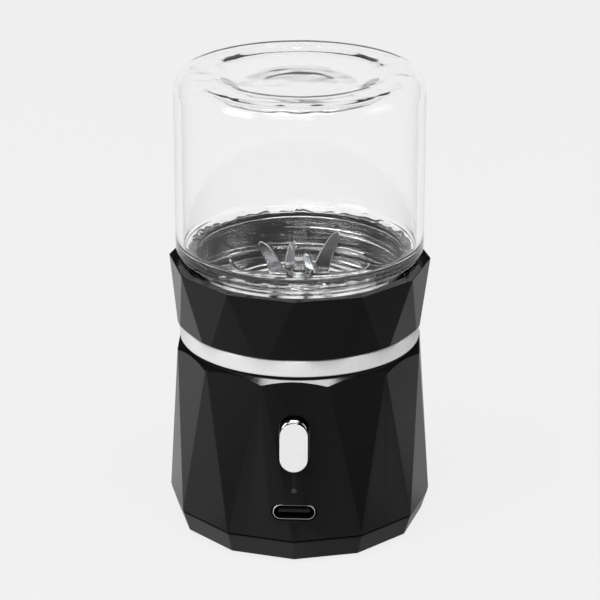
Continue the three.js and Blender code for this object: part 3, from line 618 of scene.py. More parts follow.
def feet():
    for name in FOOT_NAMES:
        low, high, centre, radius = footprint(name)
        dish = 0.15 * MM
        profile = [(0, low.z + dish), (radius * 0.6, low.z + dish), (radius * 0.75, low.z)]
        profile += arc((radius - 0.35 * MM, low.z + 0.35 * MM), 0.35 * MM, -90, 0, 4)
        profile += [(radius, high.z - 0.1 * MM), (radius - 0.1 * MM, high.z), (0, high.z)]
        bm = turned(profile, 64)
        bmesh.ops.translate(bm, vec=(centre.x, centre.y, 0), verts=bm.verts)
        finish_piece(to_object(f"rubber_{name}", bm), RUBBER, "housing", [name])


def trim_ring():
    inner = 22.2 * MM
    outer = RING_HIGH.x
    round_r = 0.3 * MM
    profile = [(inner, RING_LOW.z)]
    profile += arc((outer - round_r, RING_LOW.z + round_r), round_r, -90, 0, 4)
    profile += arc((outer - round_r, RING_HIGH.z - round_r), round_r, 0, 90, 4)
    profile += [(inner, RING_HIGH.z)]
    finish_piece(
        to_object("white_band", turned(profile, 240)), WHITE, "housing", ["trim_ring"]
    )


# ---- Front pieces ----

def drawn_in(share, gap=0.0):
    """The button's outline drawn in by a share of its shoulder, which is deeper at the top end."""
    side, top = 0.12 * MM * share + gap, 0.68 * MM * share + gap
    outline = pill_outline(BUTTON_WIDTH - 2 * side, BUTTON_LENGTH - side - top)
    return [(across, up - (top - side) / 2) for across, up in outline]


def button():
    """A plated pill with a soft shoulder on a flange behind the wall, a post for the switch, a white face."""
    shoulder = 0.45 * MM
    face_depth = 0.25 * MM
    layers = [(drawn_in(1, 0.05 * MM), -BUTTON_PROUD + face_depth), (drawn_in(1), -BUTTON_PROUD + 0.03 * MM)]
    steps = 8
    for k in range(steps + 1):
        angle = math.radians(90 * k / steps)
        out = 0.6 * k / steps + 0.4 * math.sin(angle)
        back = 0.6 * k / steps + 0.4 * (1 - math.cos(angle))
        layers.append((drawn_in(0.92 * (1 - out)), -BUTTON_PROUD + shoulder * back))
    flange = [(across, up - FLANGE_DROP) for across, up in pill_outline(FLANGE_WIDTH, FLANGE_LENGTH)]
    layers += [(drawn_in(0), FLANGE_DEPTH), (flange, FLANGE_DEPTH), (flange, FLANGE_DEPTH + 0.8 * MM)]
    cap = to_object("push_button", front_slab(layers, BUTTON_HEIGHT), TO_FRONT)
    post = front_rod(1.3 * MM, 2.5 * MM, 3.0 * MM, BUTTON_HEIGHT)
    combine(cap, in_front(post), "UNION")
    finish_piece(cap, PLATED, "button", ["button_cap"], 30)
    gap, rim = 0.07 * MM, 0.1 * MM
    layers = [
        (drawn_in(1, gap + rim), -BUTTON_PROUD),
        (drawn_in(1, gap + 0.3 * rim), -BUTTON_PROUD + 0.3 * rim),
        (drawn_in(1, gap), -BUTTON_PROUD + rim),
        (drawn_in(1, gap + 0.04 * MM), -BUTTON_PROUD + face_depth),
    ]
    face = to_object("button_face", front_slab(layers, BUTTON_HEIGHT), TO_FRONT)
    finish_piece(face, WHITE, "button", smooth_angle=50)


def lamp_window():
    radius = LAMP_R
    profile = [(0, -5.1 * MM), (radius, -5.1 * MM), (radius, -2.5 * MM), (1.25 * MM, -2.5 * MM)]
    profile += [(1.25 * MM, -1.9 * MM), (radius, -1.8 * MM), (radius, -0.2 * MM)]
    profile += [(0.95 * radius, -0.1 * MM), (0.7 * radius, -0.04 * MM), (0, -0.02 * MM)]
    bm = turned(profile, 48)
    turn = Matrix.Translation((0, 0, LAMP_HEIGHT)) @ Matrix.Rotation(math.radians(90), 4, "X")
    window = to_object("lamp_window", bm, TO_FRONT @ turn)
    finish_piece(window, SMOKED, "housing", ["light_pipe"])


def socket():
    """The socket's drawn shell, its tongue and the contacts on the tongue."""
    front, back, sheet = 0.7 * MM, 6.2 * MM, 0.2 * MM
    width, height = 8.94 * MM, 3.2 * MM
    outer = pill_outline(height, width, upright=False)
    outer_lip = pill_outline(height - 0.12 * MM, width - 0.12 * MM, upright=False)
    inner = pill_outline(height - 2 * sheet, width - 2 * sheet, upright=False)
    inner_lip = pill_outline(height - 2 * sheet + 0.1 * MM, width - 2 * sheet + 0.1 * MM, upright=False)
    layers = [(inner, back - 2 * sheet), (inner, front + 0.08 * MM), (inner_lip, front)]
    layers += [(outer_lip, front), (outer, front + 0.06 * MM), (outer, back)]
    shell = to_object("socket_shell", front_slab(layers, PORT_HEIGHT), TO_FRONT)
    # The shell's outer faces, its rim among them, are painted near white as a painted highlight.
    finish_piece(shell, PAINTED_HIGHLIGHT_STEEL, "housing", ["usb_socket_shell"])
    # Faces that point into the mouth are painted near black as painted shade.
    shell.data.materials.append(SHADED_STEEL)
    for polygon in shell.data.polygons:
        inward = polygon.normal.x * polygon.center.x + polygon.normal.z * (polygon.center.z - PORT_HEIGHT)
        if inward < -0.3 * MM:
            polygon.material_index = 1
    low, high = front + 0.8 * MM, back - 0.9 * MM
    bm = bmesh.new()
    bmesh.ops.create_cube(bm, size=1)
    half = 3.345 * MM
    for vert in bm.verts:
        vert.co = Vector(
            (vert.co.x * 2 * half, low if vert.co.y < 0 else high, PORT_HEIGHT + vert.co.z * 0.7 * MM)
        )
    bmesh.ops.bevel(bm, geom=list(bm.edges), offset=0.08 * MM, segments=2, affect="EDGES")
    tongue = to_object("socket_tongue", bm, TO_FRONT)
    root = front_slab(
        [(pill_outline(1.9 * MM, 7.7 * MM, upright=False), high - 0.8 * MM),
         (pill_outline(1.9 * MM, 7.7 * MM, upright=False), high)],
        PORT_HEIGHT,
    )
    combine(tongue, in_front(root), "UNION")
    finish_piece(tongue, DARK_PLASTIC, "housing", ["usb_tongue"])
    contacts = bmesh.new()
    pitch, count = 0.5 * MM, 12
    width, thick = 0.26 * MM, 0.05 * MM
    for side in (-1, 1):
        for k in range(count):
            x = (k - (count - 1) / 2) * pitch
            made = bmesh.ops.create_cube(contacts, size=1)
            for vert in made["verts"]:
                depth = front + (1.1 * MM if vert.co.y < 0 else 3.6 * MM)
                up = side * (0.33 * MM + (vert.co.z + 0.5) * thick)
                vert.co = Vector((x + vert.co.x * width, depth, PORT_HEIGHT + up))
    bmesh.ops.bevel(contacts, geom=list(contacts.edges), offset=0.01 * MM, segments=1, affect="EDGES")
    finish_piece(to_object("socket_contacts", contacts, TO_FRONT), BRONZE, "housing")


# ---- Collar, dish and jar ----

def thread_height(angle, z, start_z, start_turn, turns, root_width, crest_width):
    """How much of the full thread height stands at one place, 0 to 1."""
    best = 0.0
    first = angle / TAU
    for k in range(-2, 3):
        turn = first + k
        along = (turn - start_turn) / turns
        if not 0 <= along <= 1:
            continue
        off = abs(z - (start_z + THREAD_LEAD * turn))
        flank = (root_width / 2 - off) / ((root_width - crest_width) / 2)
        fade = min(1, along / 0.1, (1 - along) / 0.1)
        best = max(best, min(1, max(0, flank)) * max(fade, 0))
    return best * best * (3 - 2 * best)


def collar():
    points = corner_ring(COLLAR_CORNER_R, COLLAR_CORNER_Z, True)
    points += corner_ring(COLLAR_TOP_R, COLLAR_HIGH.z, False)
    shell = to_object("blade_collar", hull(points))
    under = rod(COLLAR_TOP_R * 1.2, COLLAR_CORNER_Z - 5 * MM, COLLAR_LOW.z)
    combine(shell, [under, collar_bore()], "DIFFERENCE")
    lip, lip_r, past_r = 0.2 * MM, 26.05 * MM, 28.5 * MM
    low, below = COLLAR_LOW.z, COLLAR_LOW.z - MM
    low_cut = turned(
        [(26.9 * MM, below), (lip_r, below), (lip_r, low), (lip_r + 3 * lip, low + 1.4 * lip),
         (past_r, low + 1.6 * lip), (past_r, below)],
        180,
    )
    tower = rod(TOWER_R, COLLAR_FLOOR_Z - MM, TOWER_TOP_Z, chamfer=0.2 * MM)
    combine(shell, [low_cut], "DIFFERENCE")
    combine(shell, [tower], "UNION")
    shaft_hole = rod(3.5 * MM, below, TOWER_TOP_Z + MM)
    seal_pocket = rod(3.9 * MM, 49.1 * MM, TOWER_TOP_Z + MM)
    combine(shell, [shaft_hole, seal_pocket], "DIFFERENCE")
    finish_piece(shell, COLLAR_BLACK, "housing", ["collar_shell"], 24)


def collar_bore():
    """The space inside the collar; where it draws in, the collar's wall stands out as the thread."""
    crest = 1.15 * MM
    rim = 0.35 * MM
    profile = [(0, COLLAR_FLOOR_Z), (COLLAR_BORE_R, COLLAR_FLOOR_Z), (COLLAR_BORE_R, 52 * MM)]
    profile += refined([(COLLAR_BORE_R, 52.1 * MM), (COLLAR_BORE_R, COLLAR_HIGH.z - 0.2 * MM)], 0.22 * MM)
    profile += arc((COLLAR_BORE_R + rim, COLLAR_HIGH.z - rim), rim, 180, 90, 3)
    profile += [(COLLAR_BORE_R + rim, COLLAR_HIGH.z + MM), (0, COLLAR_HIGH.z + MM)]

    def shift(point, angle):
        radius, z = point
        height = thread_height(angle, z, THREAD_START_Z + THREAD_LEAD / 2, -0.25, 1.1, 1.6 * MM, 0.7 * MM)
        return radius - crest * height, z

    return turned(profile, ROUND, shift)


def chamber_dish():
    """Pressed steel floor with rolled steps."""
    upper = in_mm((24.6, 49.7), (21.9, 49.7), (21.35, 50.2), (21.3, 51.9))
    upper += arc((20.9 * MM, 51.9 * MM), 0.4 * MM, 0, 90, 4)
    upper += in_mm((18.6, 52.3), (18.1, 52.45), (17.2, 52.95), (16.5, 53.1))
    upper += in_mm((12.6, 53.1), (12.3, 52.85), (11.6, 52.85), (11.3, 53.1))
    upper += in_mm((9.2, 53.1), (8.6, 53.3), (8, 53.5), (3.1, 53.5), (2.75, 53.3))
    lower = in_mm((2.75, 52.9), (7.7, 52.9), (8.7, 52.5), (16, 52.5), (18, 51.7))
    lower += in_mm((20.7, 51.7), (20.75, 50), (21, 49.1), (24.6, 49.1))
    dish = to_object("steel_dish", turned(upper + lower, 180))
    finish_piece(dish, DISH_STEEL, "housing", ["chamber_dish"], 50)


def smooth(share):
    """An S-shaped step from 0 to 1."""
    share = min(max(share, 0), 1)
    return share * share * (3 - 2 * share)


def punt_share(radius):
    """How much of the punt's depth the jar's base has at a radius, 0 to 1."""
    return smooth((PUNT_R[0] - radius) / (PUNT_R[0] - PUNT_R[1]))


def glass_jar():
    """A thin-walled moulded jar, upside down: threaded neck at the bottom, recessed base on top."""
    outer_r, inner_r = JAR_HIGH.x, JAR_HIGH.x - JAR_WALL
    mouth_z, top_z = JAR_LOW.z, JAR_HIGH.z
    shoulder_r = outer_r - NECK_R
    lip = 0.75 * MM
    outside = arc((NECK_R - lip, mouth_z + lip), lip, -90, 0, 4)
    outside += refined([(NECK_R, mouth_z + lip + 0.05 * MM), (NECK_R, SHOULDER_Z)], 0.2 * MM)
    outside += arc((NECK_R, SHOULDER_Z + shoulder_r), shoulder_r, -90, 0, 28)[1:]
    outside += refined([(outer_r, SHOULDER_Z + shoulder_r), (outer_r, top_z - JAR_TOP_ROUND)], 2 * MM)[1:]
    outside += arc((outer_r - JAR_TOP_ROUND, top_z - JAR_TOP_ROUND), JAR_TOP_ROUND, 0, 90, 16)[1:]
    step = 0.6 * MM
    flat_r = outer_r - JAR_TOP_ROUND
    rows = [flat_r - k * step for k in range(1, int(flat_r / step))]

    def punt(radius):
        crown = 0.3 * MM * max(0, 1 - (radius / (12 * MM)) ** 2)
        ring = 0.07 * MM * math.exp(-(((radius - 8.3 * MM) / (0.7 * MM)) ** 2))
        return PUNT_DEPTH * punt_share(radius) + crown - ring

    outside += [(radius, top_z - punt(radius)) for radius in rows] + [(0, top_z - punt(0))]
    inner_round = JAR_INNER_ROUND
    inner_flat_r = inner_r - inner_round
    inner_top = top_z - JAR_WALL
    rows = [k * step for k in range(1, int(inner_flat_r / step))]
    inside = [(0, inner_top - PUNT_DEPTH)]
    inside += [(radius, inner_top - PUNT_DEPTH * punt_share(radius)) for radius in rows]
    inside += arc((inner_flat_r, inner_top - inner_round), inner_round, 90, 0, 12)
    inner_bottom = SHOULDER_Z + shoulder_r + JAR_WALL
    inside += refined([(inner_r, inner_top - inner_round), (inner_r, inner_bottom)], 0.7 * MM)[1:]
    inner_shoulder = inner_r - NECK_INNER_R
    inside += arc((NECK_INNER_R, inner_bottom), inner_shoulder, 0, -90, 16)[1:]
    neck_top = inner_bottom - inner_shoulder
    inside += refined([(NECK_INNER_R, neck_top), (NECK_INNER_R, mouth_z + lip)], 0.4 * MM)[1:]
    inside += arc((NECK_INNER_R + lip, mouth_z + lip), lip, 180, 250, 3)

    def shift(point, angle):
        radius, z = point
        place = Vector((math.cos(angle) * radius, math.sin(angle) * radius, z))
        outer = radius > NECK_R - 0.01 * MM
        if z < SHOULDER_Z and outer:
            radius += THREAD_HEIGHT * thread_height(angle, z, THREAD_START_Z, 0, 1.3, 1.7 * MM, 0.5 * MM)
        if outer and z < SHOULDER_Z + 3 * MM:
            beads = math.sin(TAU * (z - BEAD_LOW_Z) / BEAD_PITCH) * smooth((z - BEAD_LOW_Z) / (0.5 * MM))
            radius += BEAD * beads * smooth((SHOULDER_Z + 2.4 * MM - z) / (1.2 * MM))
        if z < 70 * MM and not outer:
            close = math.exp(-(((z - RIPPLE_Z) / (2.4 * MM)) ** 2))
            ripple = noise.noise(place * 330) + 0.5 * noise.noise(place * 900)
            radius += RIPPLE * close * ripple
            z += RIPPLE * 2.5 * close * noise.noise(place * 420 + Vector((7, 3, 5)))
        if z > top_z - 8 * MM and not outer:
            radius += 0.07 * MM * noise.noise(place * 260)
            z += 0.07 * MM * noise.noise(place * 240 + Vector((3, 1, 9)))
        radius += 0.02 * MM * noise.noise(place * 60)
        seam = max(0.0, abs(math.sin(angle)) - 0.9999) / 0.0001
        if outer:
            radius += SEAM * seam
        return min(radius, outer_r), min(z, top_z)

    jar = to_object("grinder_jar", turned(outside + inside, 360, shift))
    finish_piece(jar, GLASS, "jar", ["glass_jar"], 180)


def jar_seal():
    low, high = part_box("jar_seal")
    inner, outer, rim = 22.4 * MM, high.x, 0.25 * MM
    profile = arc((inner + rim, low.z + rim), rim, 180, 270, 3)
    profile += arc((outer - rim, low.z + rim), rim, -90, 0, 3)
    profile += arc((outer - rim, high.z - rim), rim, 0, 90, 3)
    profile += arc((inner + rim, high.z - rim), rim, 90, 180, 3)
    seal = to_object("silicone_gasket", turned(profile))
    finish_piece(seal, SILICONE, "seal", ["jar_seal"], 60)


# ---- Cutter ----

def ground_section(half, thick, ground=0.55 * MM):
    """Corners of a strip's section as (across, lift), with a bevel ground on both long edges."""
    edge = 0.12 * thick
    ground = min(ground, 0.4 * half)
    face = half - 1.7 * ground
    lower = [(-half, -edge), (-half + ground, -thick / 2), (-face, -thick / 2), (0, -thick / 2)]
    lower += [(face, -thick / 2), (half - ground, -thick / 2), (half, -edge)]
    return lower + [(across, -lift) for across, lift in reversed(lower)]


def bent_point(along, flat, bend_r, bend):
    """Where a strip that bends up has its middle, and its slope, a given way along it."""
    slope = min(max((along - flat) / bend_r, 0), bend)
    straight = max(along - flat - bend_r * bend, 0)
    out = min(along, flat) + bend_r * math.sin(slope) + straight * math.cos(bend)
    up = bend_r * (1 - math.cos(slope)) + straight * math.sin(bend)
    return out, up, slope


def seated_blade(name, node, bm, mid_z):
    """Joins the plate and its wings with the round seat, and cuts the shaft's hole."""
    wings = to_object(name, bm)
    half, rim = BLADE_THICKNESS / 2, 0.08 * MM
    seat = turned(
        [(SEAT_BORE_R, -half), (SEAT_R - rim, -half), (SEAT_R, -half + rim),
         (SEAT_R, half - rim), (SEAT_R - rim, half), (SEAT_BORE_R, half)],
        72,
    )
    combine(wings, [seat], "UNION")
    combine(wings, [rod(SEAT_BORE_R, -MM, MM)], "DIFFERENCE")
    wings.data.transform(Matrix.Translation((0, 0, mid_z)))
    finish_piece(wings, PAINTED_SHADE_AND_HIGHLIGHT_STEEL, "rotor", [node], 25)


def strip_blade(name, node, mid_z, flat, bend_r, bend, length, root_width, tip_width, sweep):
    """A long strip along X with both ends turned up, its edges ground and its tips cut at a slant."""
    bm = bmesh.new()
    steps = 26
    for side in (1, -1):
        rows = []
        for k in range(steps + 1):
            share = k / steps
            out, up, slope = bent_point(share * length, flat, bend_r, math.radians(bend))
            half = (root_width + (tip_width - root_width) * share) / 2
            row = []
            for across, lift in ground_section(half, BLADE_THICKNESS):
                slant = -0.5 * (across + half) if k == steps else 0
                x = out - math.sin(slope) * lift + math.cos(slope) * slant
                z = up + math.cos(slope) * lift + math.sin(slope) * slant
                row.append((side * x, side * (across + sweep * share ** 2), z))
            rows.append(row)
        lofted(bm, rows)
    seated_blade(name, node, bm, mid_z)


def eared_blade(name, node, mid_z, flat, bend_r, bend, length, root_x, root_width, tip_width, sweep):
    """A plate with an ear bent up from each long edge; an ear leans along the edge as it rises."""
    bm = bmesh.new()
    steps = 28
    round_from = 0.82
    thick = BLADE_THICKNESS
    for side in (1, -1):
        rows = []
        for k in range(steps + 1):
            along = flat - 0.9 * MM + (length + 0.9 * MM) * k / steps
            share = max(0, (along - flat) / length)
            rounding = 0.97 * max(0, (share - round_from) / (1 - round_from))
            half = (root_width + (tip_width - root_width) * share) / 2 * math.sqrt(1 - rounding ** 2)
            middle = root_x + sweep * share ** 1.35
            out, up, slope = bent_point(along, flat, bend_r, math.radians(bend))
            row = []
            for across, lift in ground_section(half, thick, 0.22 * MM):
                y = out - math.sin(slope) * lift
                row.append((side * (middle + across), side * y, up + math.cos(slope) * lift))
            rows.append(row)
        lofted(bm, rows)
    lean = math.copysign(1, root_x)
    inner, outer = root_x - lean * root_width / 2, root_x + lean * root_width / 2
    half_outline = [(outer, flat), (outer, -0.3 * flat), (inner, -flat)]
    outline = half_outline + [(-x, -y) for x, y in half_outline]
    plate = bmesh.new()
    rim = 0.07 * MM
    shrink = 1 - 2 * rim / abs(outer)
    levels = ((-thick / 2, shrink), (-thick / 2 + rim, 1), (thick / 2 - rim, 1), (thick / 2, shrink))
    lofted(plate, [[(x * scale, y * scale, lift) for x, y in outline] for lift, scale in levels])
    ears = to_object("tool_plate", bm)
    combine(ears, [plate], "UNION")
    bm = bmesh.new()
    bm.from_mesh(ears.data)
    bpy.data.objects.remove(ears)
    seated_blade(name, node, bm, mid_z)


def cutter():
    strip_blade(
        "flat_blade", "blade_flat", BLADE_Z[0], flat=10.4 * MM, bend_r=5 * MM, bend=60,
        length=16.3 * MM, root_width=4.4 * MM, tip_width=2.8 * MM, sweep=0.6 * MM,
    )
    eared_blade(
        "tall_blade", "blade_tall", BLADE_Z[1], flat=1.4 * MM, bend_r=0.7 * MM, bend=79, length=8.55 * MM,
        root_x=4.45 * MM, root_width=3.8 * MM, tip_width=2.1 * MM, sweep=3.6 * MM,
    )
    eared_blade(
        "short_blade", "blade_short", BLADE_Z[2], flat=1.7 * MM, bend_r=0.7 * MM, bend=67, length=5.8 * MM,
        root_x=-2.45 * MM, root_width=2.2 * MM, tip_width=1.4 * MM, sweep=MM,
    )
    blade_nut()
    blade_hub()


def blade_nut():
    """A hexagon nut with its top corners turned off.

    Known fault: its faces point inwards on some runs, and then the cut for its bore adds a core instead.
    """
    low, high = NUT_LOW.z, NUT_HIGH.z
    corner_r, turned_r, face_r = 2.2 * MM, 2.4 * MM, 1.85 * MM
    bore_r, mouth_r, mouth_z = 1.2 * MM, 1.42 * MM, high + 0.05 * MM
    bm = bmesh.new()
    lofted(bm, [[polar(corner_r, TAU * (k + 0.5) / 6, z) for k in range(6)] for z in (low, high)])
    nut = to_object("blade_lock_nut", bm)
    crown = turned(
        [(0, low - MM), (turned_r, low - MM), (turned_r, high - 0.35 * MM), (face_r, high), (0, high)]
    )
    bore = turned(
        [(0, low - MM), (bore_r, low - MM), (bore_r, high - 0.2 * MM), (mouth_r, mouth_z), (0, mouth_z)]
    )
    combine(nut, [crown], "INTERSECT")
    combine(nut, [bore], "DIFFERENCE")
    finish_piece(nut, BRIGHT_STEEL, "rotor", ["blade_nut"], 25)


def blade_hub():
    low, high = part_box("blade_hub")
    flange = high.x
    bore_r, body_r = 1.2 * MM, 2.3 * MM
    profile = [(bore_r, low.z + 0.1 * MM), (1.3 * MM, low.z)]
    profile += [(2.15 * MM, low.z), (body_r, low.z + 0.15 * MM), (body_r, high.z - 1.2 * MM)]
    profile += [(2.45 * MM, high.z - 1.05 * MM), (flange - 0.15 * MM, high.z - 0.9 * MM)]
    profile += [(flange, high.z - 0.75 * MM), (flange, high.z - 0.12 * MM), (flange - 0.12 * MM, high.z)]
    profile += [(bore_r, high.z)]
    hub = to_object("blade_seat", turned(profile, 96))
    finish_piece(hub, BRIGHT_STEEL, "rotor", ["blade_hub"], 30)


# ---- Screws ----

SHANK_SHARE = 0.52
CROSS_TURN = 20


def cross_screw(name, node):
    """A pan-head screw with a cross recess, its head down, in place of a plain one."""
    low, high, centre, head_r = footprint(node)
    shank_r = head_r * SHANK_SHARE
    head_h = min(1.3 * MM, 0.4 * (high.z - low.z))
    length = high.z - low.z
    profile = [(0, 0)] + arc((head_r - 0.3 * MM, 0.3 * MM), 0.3 * MM, -90, 0, 4)
    profile += [(head_r, head_h), (shank_r, head_h), (shank_r, length - 0.25 * MM)]
    profile += [(shank_r * 0.6, length), (0, length)]
    pitch, thread_depth = 0.8 * MM, 0.22 * MM

    def shift(point, angle):
        radius, z = point
        if head_h + 0.1 * MM < z < length - 0.3 * MM and radius > shank_r * 0.9:
            phase = (z / pitch - angle / TAU) % 1
            radius -= thread_depth * abs(2 * phase - 1)
        return radius, z

    bm = turned(refined(profile, 0.2 * MM), 32, shift)
    screw = to_object(name, bm)
    slots = []
    for turn in (0, 90):
        cut = bmesh.new()
        bmesh.ops.create_cube(cut, size=1)
        for vert in cut.verts:
            vert.co = Vector((vert.co.x * head_r * 1.15, vert.co.y * head_r * 0.3, vert.co.z * 1.1 * MM))
        turned_to = Matrix.Rotation(math.radians(turn + CROSS_TURN), 3, "Z")
        bmesh.ops.rotate(cut, cent=(0, 0, 0), matrix=turned_to, verts=cut.verts)
        slots.append(cut)
    combine(screw, slots, "DIFFERENCE")
    screw.data.transform(Matrix.Translation((centre.x, centre.y, low.z)))
    finish_piece(screw, ZINC, "housing", [node], 30)


def screws():
    for k in range(1, 5):
        cross_screw(f"cover_screw_{k}", f"base_screw_{k}")
    for k in range(1, 4):
        cross_screw(f"collar_fixing_{k}", f"collar_screw_{k}")


# ---- Pieces kept as they are in the frame ----

# Material, slot, then the width of each node's rounded edges in mm.
KEPT = (
    (BRIGHT_STEEL, "bright_steel", {"motor_shaft": 0.1}),
    (RUBBER, "dark_rubber", {"shaft_seal": 0.15}),
    (ZINC, "zinc_steel", {"motor_can": 0.3, "motor_armature": 0.15, "motor_screw_1": 0.1,
                          "motor_screw_2": 0.1, "board_screw_1": 0.1, "board_screw_2": 0.1}),
    (NYLON, "motor_plastic", {"motor_end_bell": 0.2}),
    (BRONZE, "bronze", {"front_bush": 0.1, "rear_bush": 0.1, "motor_commutator": 0.1,
                        "motor_terminal_1": 0.05, "motor_terminal_2": 0.05}),
    (FERRITE, "ferrite", {"motor_magnet_left": 0.2, "motor_magnet_right": 0.2}),
    (WIRE_BLACK, "wire_black", {"motor_lead_1": 0.05, "battery_lead_1": 0.05}),
    (WIRE_RED, "wire_red", {"motor_lead_2": 0.05, "battery_lead_2": 0.05}),
    (FOIL, "cell_foil", {"battery_cell": 0.4}),
    (BOARD, "board_green", {"circuit_board": 0.1}),
    (DARK_PLASTIC, "dark_plastic", {"switch_body": 0.15, "switch_plunger": 0.15}),
    (SMOKED, "smoked_plastic", {"charge_lamp": 0.05}),
)


def kept_nodes():
    for material, slot, edges in KEPT:
        for name, edge in edges.items():
            shade(frame["nodes"][name], material, 35, edge * MM)


# ---- Stage, lights and camera ----

# Brightness of the backdrop and floor seen straight, of both as they light the object, of the room as
# mirrored outside the glass, and of the room and its panel as mirrored inside it.
BACKDROP = 0.863
FLOOR_GLOW = 0.828
ROOM_SPILL = 0.4
FLOOR_SPILL = 0.5
DARK_ROOM = 0.02
GLASS_ROOM = 0.11
GLASS_PANEL = 1.4

# Where the panel is, by the height and the depth of a direction: from, to, value before, value after.
PANEL_FROM = (0.42, 0.5, 0, 1)
PANEL_TO = (0.8, 0.88, 1, 0)
PANEL_BACK = (0.2, 0.3, 0, 1)

# How bright the mirrored floor is: azimuth from, to, in radians from the front (the fades: distance from,
# to, in metres), then the value before and the value after.
FRONT_GLOW = (-0.3, 0.15, 0.15, 0.07)
LEFT_FRONT_GLOW = (-1.08, -0.92, 0.12, 0)
LEFT_GLOW = (-2.0, -1.3, 0.26, 0)
RIGHT_FRONT_GLOW = (0.98, 1.2, 0, 0.09)
RIGHT_FRONT_FADE = (0.095, 0.12, 1, 0.3)
RIGHT_GLOW = (1.5, 1.85, 0, 0.22)
BEHIND_GLOWS = ((2.4, 2.8, 0, 0.1), (-2.8, -2.4, 0.1, 0))
CLOSE_GLOW = (-0.1, 0.2, 0.47, 0.3)
CLOSE_FADE = (0.0305, 0.034, 1, 0)
FLOOR_SIZE = 8.0

CAMERA_TARGET = Vector((0, 0, 50.6 * MM))
CAMERA_DISTANCE = 588.6 * MM
CAMERA_ELEVATION = math.radians(21.017)
CAMERA_AZIMUTH = math.radians(2.4)
CAMERA_ROLL = math.radians(0.06)
LENS = 164.1
SENSOR = 36


def seen_straight(tree):
    """Three factors that tell rays apart, each 0 or 1.

    They are: seen directly, through clear glass or in the glass's own mirror; mirrored by anything; and
    mirrored by a piece that stands inside the glass.
    """
    path = add_node(tree, "LightPath").outputs
    through = path["Is Transmission Ray"]
    reflected = computed(tree, "GREATER_THAN", path["Glossy Depth"], 0.5)
    deep = computed(tree, "GREATER_THAN", path["Transmission Depth"], 2.5)
    inside_glass = computed(tree, "MULTIPLY", through, computed(tree, "MULTIPLY", reflected, deep))
    clear = computed(tree, "SUBTRACT", through, inside_glass)
    straight = computed(tree, "MAXIMUM", path["Is Camera Ray"], clear)
    first_mirror = computed(tree, "LESS_THAN", path["Glossy Depth"], 1.5)
    by_glass = computed(tree, "MULTIPLY", path["Is Glossy Ray"], path["Is Singular Ray"])
    by_glass = computed(tree, "MULTIPLY", by_glass, first_mirror)
    straight = computed(tree, "MAXIMUM", straight, by_glass)
    return straight, path["Is Glossy Ray"], inside_glass


def floor():
    """A wide pale sheet. Reflections see it shaded: dark in front, paler at the sides and close by."""
    mesh = bpy.data.meshes.new("floor")
    half = FLOOR_SIZE / 2
    mesh.from_pydata(
        [(-half, -half, 0), (half, -half, 0), (half, half, 0), (-half, half, 0)], [], [(0, 1, 2, 3)]
    )
    obj = placed("floor", mesh)
    look = Look("pale_floor", (0.03, 0.03, 0.03), 0.9, Specular_IOR_Level=0.0)
    look.vary_color(look.noise(3, 2), (0.029, 0.029, 0.029))
    tree = look.tree
    parts = add_node(tree, "SeparateXYZ", {0: look.coordinates}).outputs
    around = computed(tree, "ARCTAN2", parts["X"], look.ramp(parts["Y"], -1, 1, 1, -1))
    away = add_node(tree, "VectorMath", {0: look.coordinates}, operation="LENGTH").outputs["Value"]
    mirrored = look.ramp(around, *FRONT_GLOW)
    right_front = computed(
        tree, "MULTIPLY", look.ramp(around, *RIGHT_FRONT_GLOW), look.ramp(away, *RIGHT_FRONT_FADE)
    )
    behind = computed(tree, "ADD", *(look.ramp(around, *glow) for glow in BEHIND_GLOWS))
    others = [look.ramp(around, *glow) for glow in (LEFT_FRONT_GLOW, LEFT_GLOW, RIGHT_GLOW)]
    for glow in (others[0], others[1], right_front, others[2], behind):
        mirrored = computed(tree, "ADD", mirrored, glow)
    close = computed(tree, "MULTIPLY", look.ramp(away, *CLOSE_FADE), look.ramp(around, *CLOSE_GLOW))
    mirrored = computed(tree, "MAXIMUM", mirrored, close)
    straight, glossy, inside_glass = seen_straight(tree)
    strength = mixed_by(tree, glossy, FLOOR_SPILL, mirrored)
    strength = mixed_by(tree, inside_glass, strength, GLASS_ROOM)
    strength = mixed_by(tree, straight, strength, FLOOR_GLOW)
    look.shader.inputs["Emission Color"].default_value = (1, 1, 1, 1)
    look.link(strength, look.shader.inputs["Emission Strength"])
    mesh.materials.append(look.material)


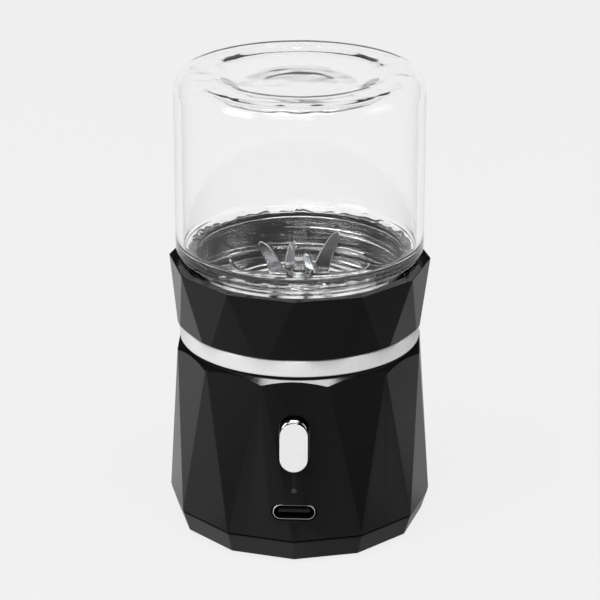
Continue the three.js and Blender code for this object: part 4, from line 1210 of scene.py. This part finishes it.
def world():
    """A backdrop seen at one brightness, and a dim room for what lights or mirrors in the object.

    What the steel inside the jar mirrors is a darker room with one bright panel high at the back.
    """
    made = bpy.data.worlds.new("studio")
    made.use_nodes = True
    tree = made.node_tree
    background = tree.nodes["Background"]
    straight, glossy, inside_glass = seen_straight(tree)
    generated = add_node(tree, "TexCoord").outputs["Generated"]
    direction = add_node(tree, "SeparateXYZ", {0: generated}).outputs
    up, back = direction["Z"], direction["Y"]
    panel = computed(tree, "MULTIPLY", ranged(tree, up, *PANEL_FROM), ranged(tree, up, *PANEL_TO))
    panel = computed(tree, "MULTIPLY", panel, ranged(tree, back, *PANEL_BACK))
    strength = mixed_by(tree, glossy, ROOM_SPILL, DARK_ROOM)
    strength = mixed_by(tree, inside_glass, strength, mixed_by(tree, panel, GLASS_ROOM, GLASS_PANEL))
    strength = mixed_by(tree, straight, strength, BACKDROP)
    background.inputs["Color"].default_value = (1, 1, 1, 1)
    tree.links.new(strength, background.inputs["Strength"])
    bpy.context.scene.world = made


def softbox(name, place, width, height, watts, aim=CAMERA_TARGET):
    data = bpy.data.lights.new(name, "AREA")
    data.shape = "RECTANGLE"
    data.size = width
    data.size_y = height
    data.energy = watts
    obj = placed(name, data)
    obj.location = place
    obj.rotation_euler = (Vector(aim) - Vector(place)).to_track_quat("-Z", "Y").to_euler()


def lights():
    softbox("key_softbox", (0, -0.24, 1.0), 0.75, 0.26, 10)
    softbox("left_softbox", (-0.75, -0.45, 0.55), 0.5, 0.5, 5)
    softbox("right_softbox", (0.8, -0.1, 0.5), 0.4, 0.5, 1.5)
    softbox("front_softbox", (-0.1, -0.8, 0.75), 0.7, 0.4, 4)


def camera():
    data = bpy.data.cameras.new("camera")
    data.lens = LENS
    data.sensor_width = SENSOR
    data.shift_x = 0.0006
    data.shift_y = -0.00835
    data.clip_start = 0.01
    obj = placed("camera", data)
    flat = CAMERA_DISTANCE * math.cos(CAMERA_ELEVATION)
    up = CAMERA_DISTANCE * math.sin(CAMERA_ELEVATION)
    away = Vector((flat * math.sin(CAMERA_AZIMUTH), -flat * math.cos(CAMERA_AZIMUTH), up))
    obj.location = CAMERA_TARGET + away
    turn = (-away).to_track_quat("-Z", "Y").to_matrix() @ Matrix.Rotation(CAMERA_ROLL, 3, "Z")
    obj.rotation_euler = turn.to_euler()
    bpy.context.scene.camera = obj


base_plate()
base_shell()
feet()
trim_ring()
button()
lamp_window()
socket()
collar()
chamber_dish()
jar_seal()
glass_jar()
cutter()
screws()
kept_nodes()
floor()
world()
lights()
camera()
bpy.context.scene.view_settings.view_transform = "Standard"
